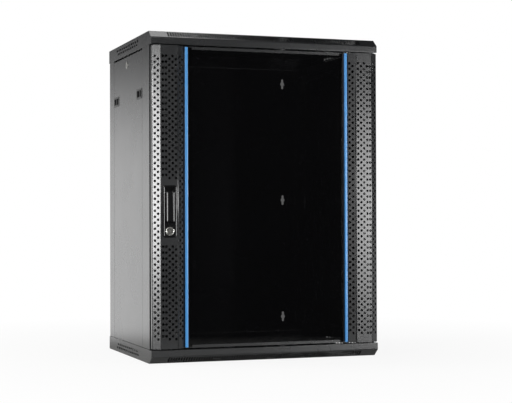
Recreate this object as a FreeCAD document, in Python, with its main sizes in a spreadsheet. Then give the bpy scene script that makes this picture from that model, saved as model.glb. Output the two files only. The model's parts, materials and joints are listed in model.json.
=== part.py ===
import FreeCAD, Part
import os
import Sketcher
from FreeCAD import Rotation, Vector

# Wall mount network cabinet for sixteen rack units, in millimetres.
#
# X runs to the right, Y to the rear and Z up. The origin is under the middle of the
# cabinet, on the plane that its base stands on. Depths are measured from the front face of
# the two covers, and every finished piece is then moved back by the same amount.

doc = FreeCAD.newDocument("network_cabinet")
size = doc.addObject("Spreadsheet::Sheet", "size")

SIZES = [
    # covers
    ("cover_width", 600, "overall width of the top and base covers"),
    ("cover_depth", 450, "depth of the covers, front face to wall"),
    ("cover_height", 34, "height of one cover"),
    ("cover_lip", 17, "upright front edge of a cover, before it slopes away"),
    ("cover_slope", 21.5, "how far back the slope of a cover runs"),
    ("cover_sheet", 1.2, "sheet of the covers"),
    ("cover_bend", 4, "outside radius of the two bends of the slope"),
    ("lip_return", 20, "flange folded back from the front edge"),
    ("side_return", 12, "flange folded in along the sides and the rear"),
    ("return_gap", 3, "gap between a side flange and the seats of the side panel"),
    ("vent_pitch", 16, "spacing of the slots along the slope"),
    ("vent_count", 33, "slots along the slope"),
    ("vent_width", 6.4, "width of one slot in the slope"),
    ("vent_lean", 2.6, "sideways lean of one slot from front to rear"),
    ("vent_front", 3.4, "front edge of the slope to the slots"),
    ("vent_rear", 3, "slots to the rear edge of the slope"),
    ("side_vent_start", 122, "depth where the side slots start"),
    ("side_vent_pitch", 59, "spacing of the side slots"),
    ("side_vent_count", 4, "side slots in one row"),
    ("side_vent_length", 52, "length of one side slot"),
    ("side_vent_height", 4.5, "height of one side slot"),
    ("side_vent_row", 9, "spacing of the two rows of side slots"),
    ("side_vent_low", 12.5, "middle of the outer row, from the cover's flat face"),
    ("entry_width", 300, "width of the cable entry"),
    ("entry_depth", 70, "depth of the cable entry"),
    ("entry_rear", 60, "distance from the wall to the cable entry"),
    ("entry_overlap", 14, "how far the entry plate laps over its opening"),
    ("plate_sheet", 1.2, "sheet of the entry plates"),
    ("fan_spacing", 240, "distance between the two fan grilles"),
    ("fan_setback", 205, "depth of the fan grilles' centres"),
    ("fan_ring", 18, "spacing of the rings of a fan grille"),
    ("fan_slot", 9, "width of one ring slot"),
    ("fan_spoke", 8, "width of the spokes between ring slots"),
    # frame
    ("rack_units", 16, "usable rack units"),
    ("unit_height", 44.45, "height of one rack unit"),
    ("rail_margin", 17.65, "height left over the last unit at each end"),
    ("frame_sheet", 1.5, "sheet of posts, brackets and rear panel"),
    ("fit", 0.3, "clearance between pieces that seat on each other"),
    ("front_post_start", 23, "depth of the front posts' front flange"),
    ("front_flange", 26, "width of the front posts' front flange"),
    ("rear_flange", 36, "width of the rear posts' rear flange"),
    ("seat_step", 11, "how far the seat of a side panel is set in"),
    ("seat_width", 15, "width of that seat"),
    ("panel_start", 92, "depth where a side panel starts"),
    ("panel_length", 305, "length of the space for a side panel"),
    ("panel_sheet", 1.2, "sheet of the side panels"),
    ("panel_gap", 1.2, "gap between a side panel and the posts"),
    ("panel_top_gap", 4.5, "gap between a side panel and the top cover"),
    ("rail_front", 60, "depth of the front rails' face"),
    ("rail_rear", 400, "depth of the rear rails' face"),
    ("rail_clear", 450, "clear width between the rails"),
    ("rail_face", 22, "width of a rail's face"),
    ("rail_web", 30, "depth of a rail's web"),
    ("rail_sheet", 2, "sheet of the rails"),
    ("rail_hole", 9.5, "square hole of a rail"),
    ("hole_row", 465.12, "distance between the two rows of square holes"),
    ("hole_step", 15.875, "spacing of the three holes of a unit"),
    ("bracket_start", 30, "depth where the rail brackets start"),
    ("bracket_end_gap", 5, "gap between the brackets and the rear flanges"),
    ("bracket_inner", 37.5, "height of the slotted leg"),
    ("bracket_outer", 13.5, "height of the leg on the posts"),
    ("bracket_gap", 1, "gap between the brackets and the covers"),
    ("adjust_slot", 6.6, "height of the rails' adjusting slot"),
    ("adjust_margin", 14, "metal left beyond each end of that slot"),
    ("adjust_height", 26, "height of that slot above the bracket's web"),
    ("key_spacing", 412, "distance between the two columns of wall holes"),
    ("key_step", 332.5, "distance between the rows of wall holes"),
    ("key_slot", 28, "length of one wall slot"),
    ("key_width", 6.6, "width of one wall slot"),
    ("key_circle", 12, "opening for a screw head in the middle of a wall slot"),
    ("rear_screw_step", 226, "spacing of the rear panel's screws"),
    ("bolt", 6, "thread of the rail bolts"),
    ("screw", 4, "thread of the small screws"),
    ("drill", 0.4, "how much wider a hole is than its screw"),
    ("head_wide", 1.7, "head of a screw, in thread diameters"),
    ("head_high", 0.6, "height of that head, in thread diameters"),
    # door
    ("door_gap", 3.5, "gap above and below the door"),
    ("door_inset", 2, "how far the door's edge is inside the covers"),
    ("door_depth", 14, "depth of the door's side walls"),
    ("door_sheet", 1.2, "sheet of the door"),
    ("door_crown", 12.5, "how far the stiles stand out in front of the covers"),
    ("outer_slope", 18.7, "width of a stile's outer slope"),
    ("stile_flat", 43.7, "width of a stile's flat face"),
    ("inner_slope", 19.1, "width of a stile's inner slope"),
    ("slope_end", 0.5, "depth where the inner slope ends"),
    ("ledge_depth", 2.5, "depth of the ledge in front of the glass"),
    ("ledge_width", 11.5, "width of that ledge"),
    ("back_flange", 12, "width of the flange behind the door's edge"),
    ("hole_side", 5.3, "side of one perforation"),
    ("hole_pitch", 29, "spacing of the holes in one column of perforations"),
    ("hole_column", 24.6, "spacing of the columns of perforations"),
    ("hole_edge", 5, "inner edge of the flat face to the first column"),
    ("hole_low", 25.4, "bottom of the door to the first perforation"),
    ("hole_rows", 24, "perforations in one column"),
    ("rows_below", 8, "perforations of one column below the handle"),
    ("rows_above", 10, "perforations of one column above the handle"),
    ("glass_sheet", 4, "thickness of the glass"),
    ("glass_lap", 8.5, "how far the glass reaches behind the ledges"),
    ("tape", 1, "thickness of the mounting tape"),
    ("bar_lip", 7, "height of the bars in front of the glass"),
    ("bar_gap", 9, "gap between the bars' lips and the stiles' ledges"),
    ("bar_back", 12, "height of the bars' rear flange"),
    ("accent_width", 8.4, "width of the blue strips"),
    ("accent_end", 2, "door's end to the end of a strip"),
    ("hinge_inset", 9, "edge of the covers to the hinge axis"),
    ("hinge_depth", 4.5, "depth of the hinge axis"),
    ("hinge_pin", 5, "diameter of the hinge pins"),
    ("pin_play", 0.1, "running clearance round a pin"),
    ("collar", 8, "diameter of the hinge pins' collars"),
    ("bracket_width", 11, "width of the hinge brackets"),
    ("low_bracket", 16, "height of the lower hinge bracket"),
    ("high_bracket", 36, "height of the upper hinge bracket"),
    ("pin_travel", 6, "travel of the upper hinge pin"),
    # handle and locks
    ("handle_edge", 43, "edge of the covers to the handle's middle"),
    ("handle_low", 308, "bottom of the handle above the floor"),
    ("handle_height", 127, "height of the handle's bezel"),
    ("handle_width", 34, "width of the handle's bezel"),
    ("handle_proud", 2, "how far the bezel stands out from the door"),
    ("handle_reach", 17, "how far the lever stands out from the covers"),
    ("handle_corner", 5, "corner radius of the bezel"),
    ("cup_margin", 1.5, "rim of the bezel around its cup"),
    ("cup_depth", 10.5, "depth of the cup behind the door's face"),
    ("cup_wall", 2.6, "wall of the cup's floor"),
    ("lever_width", 22, "width of the lever"),
    ("lever_gap", 3, "gap round the lever in its cup"),
    ("lever_height", 78, "height of the lever"),
    ("lever_sheet", 5, "thickness of the lever's blade"),
    ("lever_eye", 6, "radius of the lever's rounded top"),
    ("lever_pin", 3, "diameter of the lever's pin"),
    ("lever_top", 11, "top of the bezel to the lever's top"),
    ("lock_height", 16, "bottom of the bezel to the door lock's middle"),
    ("lock_face", 22, "diameter of the door lock's face"),
    ("lock_barrel", 15, "diameter of the door lock's barrel"),
    ("lock_proud", 1, "how far the lock's face stands out of the bezel"),
    ("cam_gap", 0.6, "gap between a locked cam and what it catches"),
    ("cam_sheet", 2, "thickness of a cam"),
    ("cam_length", 26, "reach of the door's cam"),
    ("cam_width", 15, "width of a cam"),
    ("clamp_width", 14, "width of the clamp behind the handle"),
    ("clamp_margin", 12, "how far the clamp reaches past the bezel"),
    ("key_cut", 1.6, "width of a keyway"),
    ("key_length", 8, "length of a keyway"),
    ("side_lock_depth", 250, "depth of the side locks' middle"),
    ("side_lock_drop", 59.5, "top of the cabinet to the side locks' middle"),
    ("side_lock_face", 20, "diameter of a side lock's face"),
    ("side_lock_barrel", 16, "diameter of a side lock's barrel"),
    ("side_lock_plug", 11, "diameter of a side lock's turning plug"),
    ("side_lock_proud", 1.2, "thickness of a side lock's face"),
    ("side_cam_length", 20, "reach of a side lock's cam"),
    ("nut_width", 24, "width of a side lock's nut across its corners"),
    ("nut_height", 4, "thickness of that nut"),
    # slide latches of the side panels
    ("latch_centre", 668.5, "height of the slide latches above the floor"),
    ("latch_margin", 29, "edge of the panel's space to a latch's middle"),
    ("latch_length", 52, "length of a latch's face"),
    ("latch_height", 26, "height of a latch's face"),
    ("latch_face", 1, "thickness of a latch's face"),
    ("latch_rim", 3, "face of a latch around its body"),
    ("latch_wall", 2, "wall of a latch's body"),
    ("latch_depth", 10, "depth of a latch's body"),
    ("slider_length", 30, "length of the sliding plate"),
    ("slider_sheet", 2, "thickness of the sliding plate"),
    ("slider_rest", 3, "latch's middle to the slider's middle, latched"),
    ("slider_grip", 5, "thickness of the finger rib"),
    ("slider_neck", 8, "length of the neck below the plate"),
    ("latch_travel", 6.5, "travel of a slider"),
    ("tongue_bite", 5, "how far a tongue reaches behind its seat"),
    ("tongue_width", 14, "width of a tongue"),
]

for row, (alias, number_of_mm, meaning) in enumerate(SIZES, start=1):
    size.set(f"A{row}", alias)
    size.set(f"B{row}", str(number_of_mm))
    size.set(f"C{row}", meaning)
    size.setAlias(f"B{row}", alias)
doc.recompute()

LEFT = -1
RIGHT = 1
FRONT = 1
REAR = -1
LOWER = 1
UPPER = -1
SIDES = (("left", LEFT), ("right", RIGHT))
ENDS = (("front", FRONT), ("rear", REAR))

# Places that several pieces share, as expressions on the sheet.
half_width = "(size.cover_width / 2)"
height = "(size.rack_units * size.unit_height + 2 * (size.rail_margin + size.cover_height))"
middle = f"({height} / 2)"
opening_top = f"({height} - size.cover_height)"
forward = "((size.handle_reach - size.cover_depth) / 2)"
post_half = "(size.cover_width / 2 - size.cover_sheet - size.fit)"
seat_half = f"({post_half} - size.seat_step)"
seat_back = f"({seat_half} - size.frame_sheet)"
rear_plane = "(size.cover_depth - size.cover_sheet - size.fit)"
panel_end = "(size.panel_start + size.panel_length)"
rail_half = "(size.rail_clear / 2 + size.rail_face)"
bracket_half = f"({rail_half} + size.frame_sheet)"
bracket_base = "(size.cover_height + size.bracket_gap)"
bracket_rear = f"({rear_plane} - size.frame_sheet - size.bracket_end_gap)"
adjust_level = f"({bracket_base} + size.adjust_height)"
door_low = "(size.cover_height + size.door_gap)"
door_high = f"({opening_top} - size.door_gap)"
door_half = "(size.cover_width / 2 - size.door_inset)"
crown_outer = f"({door_half} - size.outer_slope)"
crown_inner = f"({crown_outer} - size.stile_flat)"
slope_foot = f"({crown_inner} - size.inner_slope)"
ledge_half = f"({slope_foot} - size.ledge_width)"
ledge_back = "(size.ledge_depth + size.door_sheet)"
glass_front = f"({ledge_back} + size.tape)"
glass_back = f"({glass_front} + size.glass_sheet)"
hinge_x = "(size.cover_width / 2 - size.hinge_inset)"
handle_x = "(size.handle_edge - size.cover_width / 2)"
bezel_front = "(-size.door_crown - size.handle_proud)"
cup_back = "(size.cup_depth - size.door_crown)"
lever_top = "(size.handle_low + size.handle_height - size.lever_top)"
lever_axis = f"({lever_top} - size.lever_eye)"
lever_centre = "(size.lever_eye - size.handle_reach)"
lock_z = "(size.handle_low + size.lock_height)"
cam_front = "(size.front_post_start + size.frame_sheet + size.cam_gap)"
side_lock_z = f"({height} - size.side_lock_drop)"
side_cam_outer = f"({seat_back} - size.frame_sheet - size.cam_gap)"

finished = []


def number(expression):
    """What an expression on the sheet comes to."""
    return float(size.evalExpression(str(expression)))


def mirrored(side, expression):
    """The place of something on the left or the right half."""
    return f"({side} * ({expression}))"


def span(side, inner, outer):
    """Low and high end of a stretch that runs outwards on one half."""
    if side > 0:
        return (f"({inner})", f"({outer})")
    return (f"(-({outer}))", f"(-({inner}))")


def finish(obj, label):
    """Names a finished piece and moves it back from the covers' front face to its place."""
    obj.Label = label
    own_depth = dict(obj.ExpressionEngine).get(".Placement.Base.y", "0")
    obj.setExpression("Placement.Base.y", f"{own_depth} + {forward}")
    finished.append(obj)
    return obj


# ---- formed pieces: sketches and features ------------------------------------------------

def new_body(name):
    return doc.addObject("PartDesign::Body", f"{name}_body")


def origin_part(body, role):
    return next(o for o in body.Origin.OriginFeatures if o.Role == role)


def new_sketch(body, plane, name, offset):
    """A sketch on one of the body's own planes, moved along its normal by the offset."""
    sketch = body.newObject("Sketcher::SketchObject", name)
    sketch.AttachmentSupport = (origin_part(body, plane), [""])
    sketch.MapMode = "FlatFace"
    if offset:
        sketch.setExpression("AttachmentOffset.Base.z", offset)
    return sketch


def draw(sketch, outlines):
    """Draws closed outlines, with every corner tied to the sheet."""
    for points in outlines:
        first = sketch.GeometryCount
        last = first + len(points) - 1
        corners = [Vector(number(x), number(y), 0) for x, y in points]
        for start, end in zip(corners, corners[1:] + corners[:1]):
            sketch.addGeometry(Part.LineSegment(start, end), False)
        for line in range(first, last + 1):
            following = line + 1 if line < last else first
            sketch.addConstraint(Sketcher.Constraint("Coincident", line, 2, following, 1))
        for line, (x, y) in enumerate(points, start=first):
            for direction, place in (("DistanceX", x), ("DistanceY", y)):
                tie = sketch.addConstraint(Sketcher.Constraint(direction, line, 1, number(place)))
                sketch.setExpression(f"Constraints[{tie}]", str(place))
    return sketch


def draw_circles(sketch, circles):
    """Draws circles, each with its centre and radius tied to the sheet."""
    for x, y, radius in circles:
        centre = Vector(number(x), number(y), 0)
        ring = sketch.addGeometry(Part.Circle(centre, Vector(0, 0, 1), number(radius)), False)
        for direction, place in (("DistanceX", x), ("DistanceY", y)):
            tie = sketch.addConstraint(Sketcher.Constraint(direction, ring, 3, number(place)))
            sketch.setExpression(f"Constraints[{tie}]", str(place))
        tie = sketch.addConstraint(Sketcher.Constraint("Radius", ring, number(radius)))
        sketch.setExpression(f"Constraints[{tie}]", str(radius))
    return sketch


def rectangle(x_span, y_span):
    (left, right), (low, high) = x_span, y_span
    return [(left, low), (right, low), (right, high), (left, high)]


def around(centre, width):
    """Low and high end of a stretch about its middle."""
    return (f"({centre} - ({width}) / 2)", f"({centre} + ({width}) / 2)")


def pad(body, sketch, length, symmetric=False):
    feature = body.newObject("PartDesign::Pad", f"{sketch.Name}_pad")
    feature.Profile = sketch
    feature.SideType = "Symmetric" if symmetric else "One side"
    feature.setExpression("Length", str(length))
    return feature


def pocket(body, sketch, length):
    """Cuts the sketch out, half of the length on each side of its plane."""
    feature = body.newObject("PartDesign::Pocket", f"{sketch.Name}_pocket")
    feature.Profile = sketch
    feature.SideType = "Symmetric"
    feature.setExpression("Length", str(length))
    return feature


def repeat(body, feature, axis, pitch, count):
    """Repeats a feature along an axis of its body."""
    pattern = body.newObject("PartDesign::LinearPattern", f"{feature.Name}_pattern")
    pattern.Originals = [feature]
    pattern.Direction = (origin_part(body, axis), [""])
    pattern.Mode = "Spacing"
    pattern.setExpression("Offset", pitch)
    pattern.setExpression("Occurrences", count)
    body.Tip = pattern


# ---- turned and cut pieces: primitives and booleans ---------------------------------------

def place(obj, x, y, z, rotation=None):
    if rotation:
        obj.Placement.Rotation = rotation
    for axis, value in (("x", x), ("y", y), ("z", z)):
        obj.setExpression(f"Placement.Base.{axis}", str(value))
    return obj


def box(name, x_span, y_span, z_span):
    obj = doc.addObject("Part::Box", name)
    for edge, (low, high) in (("Length", x_span), ("Width", y_span), ("Height", z_span)):
        obj.setExpression(edge, f"({high}) - ({low})")
    return place(obj, x_span[0], y_span[0], z_span[0])


ALONG = {
    "x": Rotation(Vector(0, 0, 1), Vector(1, 0, 0)),
    "y": Rotation(Vector(0, 0, 1), Vector(0, 1, 0)),
    "z": Rotation(),
}


def start_of(axis, ends, across):
    """Start point of a round piece along an axis, from its ends and its other two places."""
    if axis == "x":
        return (ends[0], across[0], across[1])
    if axis == "y":
        return (across[0], ends[0], across[1])
    return (across[0], across[1], ends[0])


def rod(name, axis, ends, across, radius):
    obj = doc.addObject("Part::Cylinder", name)
    obj.setExpression("Radius", str(radius))
    obj.setExpression("Height", f"({ends[1]}) - ({ends[0]})")
    return place(obj, *start_of(axis, ends, across), ALONG[axis])


def prism(name, axis, ends, across, radius, sides=6):
    obj = doc.addObject("Part::Prism", name)
    obj.Polygon = sides
    obj.setExpression("Circumradius", str(radius))
    obj.setExpression("Height", f"({ends[1]}) - ({ends[0]})")
    return place(obj, *start_of(axis, ends, across), ALONG[axis])


def join(name, pieces):
    obj = doc.addObject("Part::MultiFuse", name)
    obj.Shapes = pieces
    return obj


def cut(name, base, tools):
    obj = doc.addObject("Part::Cut", name)
    obj.Base = base
    obj.Tool = tools[0] if len(tools) == 1 else join(f"{name}_tools", tools)
    return obj


def group(name, pieces):
    obj = doc.addObject("Part::Compound", name)
    obj.Links = pieces
    return obj


def drilled(name, axis, places, thread):
    """Cutters for a row of screw holes; a place gives its two ends, then where it is."""
    radius = f"({thread} / 2 + size.drill / 2)"
    return [prism(f"{name}_{i}", axis, ends, across, radius)
            for i, (ends, across) in enumerate(places)]


def screws(name, axis, places, thread, head_first):
    """Hexagon screws; a place gives where the head meets the sheet, the tip and the rest."""
    pieces = []
    for i, (seat, tip, across) in enumerate(places):
        high = f"size.head_high * {thread}"
        if head_first:
            head_ends = (f"{seat} - {high}", seat)
            shank_ends = (f"{seat} - {high}", tip)
        else:
            head_ends = (seat, f"{seat} + {high}")
            shank_ends = (tip, f"{seat} + {high}")
        head = prism(f"{name}_head_{i}", axis, head_ends, across, f"size.head_wide * {thread} / 2")
        shank = prism(f"{name}_shank_{i}", axis, shank_ends, across, f"{thread} / 2")
        pieces.append(join(f"{name}_{i}", [head, shank]))
    return group(name, pieces)


# ---- covers ------------------------------------------------------------------------------

entry_middle = "(size.cover_depth - size.entry_rear - size.entry_depth / 2)"
entry_x = around("0", "size.entry_width")
entry_y = around(entry_middle, "size.entry_depth")


def entry_screw_places():
    """The four screws of an entry plate, in the middle of its overlap."""
    x = "(size.entry_width / 2 + size.entry_overlap / 2)"
    y = "(size.entry_depth / 4)"
    return [(mirrored(side, x), f"({entry_middle} + {end} * {y})")
            for side in (LEFT, RIGHT) for end in (FRONT, REAR)]


return_run = ("(size.panel_start + size.seat_width + size.return_gap)",
              f"({panel_end} - size.seat_width - size.return_gap)")


def cover(name):
    """A folded tray, open upwards: sloped front, flanged rim, slots and cable entry."""
    body = new_body(name)
    profile = new_sketch(body, "YZ_Plane", f"{name}_profile", None)
    draw(profile, [[
        ("0", "size.cover_height"),
        ("0", "size.cover_height - size.cover_lip"),
        ("size.cover_slope", "0"),
        ("size.cover_depth", "0"),
        ("size.cover_depth", "size.cover_height"),
    ]])
    block = pad(body, profile, "size.cover_width", symmetric=True)
    doc.recompute()

    bends = body.newObject("PartDesign::Fillet", f"{name}_bends")
    bends.Base = (block, edges_at(block.Shape, [
        (0, number("size.cover_height - size.cover_lip")), (number("size.cover_slope"), 0)]))
    bends.setExpression("Radius", "size.cover_bend")
    doc.recompute()

    tray = body.newObject("PartDesign::Thickness", f"{name}_tray")
    tray.Base = (bends, [face_at_height(bends.Shape, number("size.cover_height"))])
    tray.setExpression("Value", "size.cover_sheet")
    doc.recompute()

    rim = new_sketch(body, "XY_Plane", f"{name}_rim", "size.cover_height - size.cover_sheet")
    inside = f"{half_width} - size.cover_sheet / 2"
    draw(rim, [
        rectangle((f"-({inside})", inside), ("size.cover_sheet / 2", "size.lip_return")),
        rectangle(span(LEFT, f"{half_width} - size.side_return", inside), return_run),
        rectangle(span(RIGHT, f"{half_width} - size.side_return", inside), return_run),
        rectangle(around("0", f"2 * ({post_half} - size.rear_flange - size.fit)"),
                  ("size.cover_depth - size.side_return", "size.cover_depth - size.cover_sheet / 2")),
    ])
    pad(body, rim, "size.cover_sheet")

    slot = new_sketch(body, "XY_Plane", f"{name}_slot", "0")
    first = f"(-size.vent_pitch * (size.vent_count - 1) / 2)"
    front, rear = "size.vent_front", "(size.cover_slope - size.vent_rear)"
    near = f"({first} - size.vent_lean / 2)"
    far = f"({first} + size.vent_lean / 2)"
    draw(slot, [[
        (f"{near} - size.vent_width / 2", front), (f"{near} + size.vent_width / 2", front),
        (f"{far} + size.vent_width / 2", rear), (f"{far} - size.vent_width / 2", rear),
    ]])
    slot_cut = pocket(body, slot, "2 * (size.cover_height - 3 * size.cover_sheet)")
    repeat(body, slot_cut, "X_Axis", "size.vent_pitch", "size.vent_count")

    vent = new_sketch(body, "YZ_Plane", f"{name}_side_vent", "0")
    run = ("size.side_vent_start", "size.side_vent_start + size.side_vent_length")
    draw(vent, [
        rectangle(run, around(f"(size.side_vent_low + {row} * size.side_vent_row)",
                              "size.side_vent_height")) for row in (0, 1)])
    vent_cut = pocket(body, vent, "size.cover_width + 2")
    repeat(body, vent_cut, "Y_Axis", "size.side_vent_pitch", "size.side_vent_count")

    pins = new_sketch(body, "XY_Plane", f"{name}_pin_holes", "size.cover_height")
    draw_circles(pins, [(mirrored(side, hinge_x), "size.hinge_depth",
                         "size.hinge_pin / 2 + size.pin_play") for side in (LEFT, RIGHT)])
    pocket(body, pins, "4 * size.cover_sheet")

    entry = new_sketch(body, "XY_Plane", f"{name}_entry", "0")
    draw(entry, [rectangle(entry_x, entry_y)])
    pocket(body, entry, "4 * size.cover_sheet")
    return body


def edges_at(shape, spots):
    """Names of the straight edges along X through the given places."""
    names = []
    for i, edge in enumerate(shape.Edges, start=1):
        for y, z in spots:
            centre = edge.CenterOfMass
            long_enough = edge.BoundBox.XLength > number("size.cover_width") / 2
            if long_enough and abs(centre.y - y) < 1e-3 and abs(centre.z - z) < 1e-3:
                names.append(f"Edge{i}")
    return names


def face_at_height(shape, z):
    for i, face in enumerate(shape.Faces, start=1):
        if abs(face.CenterOfMass.z - z) < 1e-3 and face.BoundBox.ZLength < 1e-3:
            return f"Face{i}"
    raise ValueError("no flat face at that height")


def entry_holes(name):
    ends = ("-size.cover_sheet", "4 * size.cover_sheet")
    return drilled(name, "z", [(ends, where) for where in entry_screw_places()], "size.screw")


def fan_grille(name, side):
    """Cutters for one grille: ring slots that four spokes interrupt."""
    x = mirrored(side, "size.fan_spacing / 2")
    ends = ("-size.cover_sheet", "2 * size.cover_sheet")
    rings = []
    for ring in (1, 2):
        inner = f"(size.fan_ring * {ring})"
        disc = prism(f"{name}_disc_{ring}", "z", ends, (x, "size.fan_setback"),
                     f"{inner} + size.fan_slot", sides=12)
        core = prism(f"{name}_core_{ring}", "z", ends, (x, "size.fan_setback"), inner, sides=12)
        rings.append(cut(f"{name}_ring_{ring}", disc, [core]))
    reach = "(8 * size.fan_ring)"
    spokes = [
        box(f"{name}_spoke_x", around(x, reach), around("size.fan_setback", "size.fan_spoke"), ends),
        box(f"{name}_spoke_y", around(x, "size.fan_spoke"), around("size.fan_setback", reach), ends),
    ]
    return cut(name, join(f"{name}_rings", rings), spokes)


def make_covers():
    base = cut("base_cover", cover("base_cover"), entry_holes("base_entry"))
    finish(base, "base_cover")
    grilles = [fan_grille("fan_left", LEFT), fan_grille("fan_right", RIGHT)]
    top = cut("top_cover", cover("top_cover"), entry_holes("top_entry") + grilles)
    # The top cover is the base cover turned over sideways, with two fan grilles added.
    top.Placement.Rotation = Rotation(Vector(0, 1, 0), 180)
    top.setExpression("Placement.Base.z", height)
    finish(top, "top_cover")


def make_entry_plates():
    x = around("0", "size.entry_width + 2 * size.entry_overlap")
    y = around(entry_middle, "size.entry_depth + 2 * size.entry_overlap")
    floors = (
        ("base", "size.cover_sheet", "size.cover_sheet + size.plate_sheet"),
        ("top", f"{height} - size.cover_sheet - size.plate_sheet", f"{height} - size.cover_sheet"),
    )
    for name, low, high in floors:
        ends = (f"{low} - size.plate_sheet", f"{high} + size.plate_sheet")
        holes = drilled(f"{name}_plate_hole", "z",
                        [(ends, where) for where in entry_screw_places()], "size.screw")
        blank = box(f"{name}_plate_blank", x, y, (low, high))
        finish(cut(f"{name}_plate", blank, holes), f"{name}_entry_plate")
    base_seat, base_tip = "size.cover_sheet + size.plate_sheet", "size.fit"
    base = screws("base_plate_screw", "z",
                  [(base_seat, base_tip, where) for where in entry_screw_places()],
                  "size.screw", head_first=False)
    top = screws("top_plate_screw", "z",
                 [(f"{height} - ({base_seat})", f"{height} - ({base_tip})", where)
                  for where in entry_screw_places()],
                 "size.screw", head_first=True)
    finish(group("entry_plate_screws", [base, top]), "entry_plate_screws")


# ---- frame -------------------------------------------------------------------------------

panel_screw_levels = [f"({middle} + {step} * size.rear_screw_step / 2)" for step in (-3, -1, 1, 3)]
rear_screw_x = f"({post_half} - size.rear_flange / 2)"
seat_screws = (
    ("front", "(size.panel_start + size.seat_width / 2)"),
    ("rear", f"({panel_end} - size.seat_width / 2)"),
)
bracket_screw_level = f"({bracket_base} + (size.frame_sheet + size.bracket_outer) / 2)"


def at_end(end, level):
    """A height given at the lower end of the cabinet, or its mirror image at the upper end."""
    return level if end == LOWER else f"({height} - {level})"


def post(name, side, end, corner, step):
    """A folded post: flange, outer strip, and the seat of the side panel set in from it."""
    flange = "size.front_flange" if end == FRONT else "size.rear_flange"
    sheet = "size.frame_sheet"
    body = new_body(name)
    profile = new_sketch(body, "XY_Plane", f"{name}_profile", "size.cover_sheet")
    outline = [
        (f"{post_half} - {flange}", corner),
        (post_half, corner),
        (post_half, step),
        (seat_half, step),
        (seat_half, f"{step} + {end} * size.seat_width"),
        (seat_back, f"{step} + {end} * size.seat_width"),
        (seat_back, f"{step} - {end} * {sheet}"),
        (f"{post_half} - {sheet}", f"{step} - {end} * {sheet}"),
        (f"{post_half} - {sheet}", f"{corner} + {end} * {sheet}"),
        (f"{post_half} - {flange}", f"{corner} + {end} * {sheet}"),
    ]
    draw(profile, [[(mirrored(side, x), y) for x, y in outline]])
    pad(body, profile, f"{height} - 2 * size.cover_sheet")
    return body


def seat_holes(name, side, which):
    """Cutters through bracket leg and seat, for the screws of one post or bracket."""
    ends = span(side, f"{seat_back} - 3 * size.frame_sheet", f"{seat_half} + size.frame_sheet")
    return drilled(name, "x", [(ends, where) for where in which], "size.screw")


def make_posts():
    for side_name, side in SIDES:
        for (end_name, end), (_, depth) in zip(ENDS, seat_screws):
            name = f"{end_name}_post_{side_name}"
            if end == FRONT:
                blank = post(name, side, end, "size.front_post_start", "size.panel_start")
            else:
                blank = post(name, side, end, rear_plane, panel_end)
            holes = seat_holes(f"{name}_hole", side,
                               [(depth, at_end(level, bracket_screw_level))
                                for level in (LOWER, UPPER)])
            if end == REAR:
                through = (f"{rear_plane} - 2 * size.frame_sheet", "size.cover_depth + 1")
                holes += drilled(f"{name}_panel_hole", "y",
                                 [(through, (mirrored(side, rear_screw_x), level))
                                  for level in panel_screw_levels], "size.screw")
            finish(cut(name, blank, holes), name)


def make_brackets():
    """Channels from post to post that carry the rails, slotted so that the rails can move."""
    for side_name, side in SIDES:
        for level_name, level in (("lower", LOWER), ("upper", UPPER)):
            name = f"{level_name}_bracket_{side_name}"
            body = new_body(name)
            profile = new_sketch(body, "XZ_Plane", f"{name}_profile", "-size.bracket_start")
            outline = [
                (seat_back, "0"),
                (seat_back, "size.bracket_outer"),
                (f"{seat_back} - size.frame_sheet", "size.bracket_outer"),
                (f"{seat_back} - size.frame_sheet", "size.frame_sheet"),
                (bracket_half, "size.frame_sheet"),
                (bracket_half, "size.bracket_inner"),
                (rail_half, "size.bracket_inner"),
                (rail_half, "0"),
            ]
            draw(profile, [[(mirrored(side, x), at_end(level, f"({bracket_base} + {z})"))
                            for x, z in outline]])
            run = pad(body, profile, f"{bracket_rear} - size.bracket_start")
            run.Reversed = True
            slot = new_sketch(body, "YZ_Plane", f"{name}_slot", mirrored(side, rail_half))
            draw(slot, [rectangle(
                ("size.bracket_start + size.adjust_margin", f"{bracket_rear} - size.adjust_margin"),
                around(at_end(level, adjust_level), "size.adjust_slot"))])
            pocket(body, slot, "4 * size.frame_sheet")
            holes = seat_holes(f"{name}_hole", side,
                               [(depth, at_end(level, bracket_screw_level))
                                for _, depth in seat_screws])
            finish(cut(name, body, holes), name)


def make_bracket_screws():
    rows = []
    for side_name, side in SIDES:
        seat = mirrored(side, f"{seat_back} - size.frame_sheet")
        tip = mirrored(side, f"{seat_half} + size.frame_sheet")
        places = [(seat, tip, (depth, at_end(level, bracket_screw_level)))
                  for _, depth in seat_screws for level in (LOWER, UPPER)]
        rows.append(screws(f"bracket_screw_{side_name}", "x", places, "size.screw",
                           head_first=side == RIGHT))
    finish(group("bracket_screws", rows), "bracket_screws")


rail_bolts = (
    ("front", "(size.rail_front + (size.rail_sheet + size.rail_web) / 2)"),
    ("rear", "(size.rail_rear - (size.rail_sheet + size.rail_web) / 2)"),
)


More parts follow.
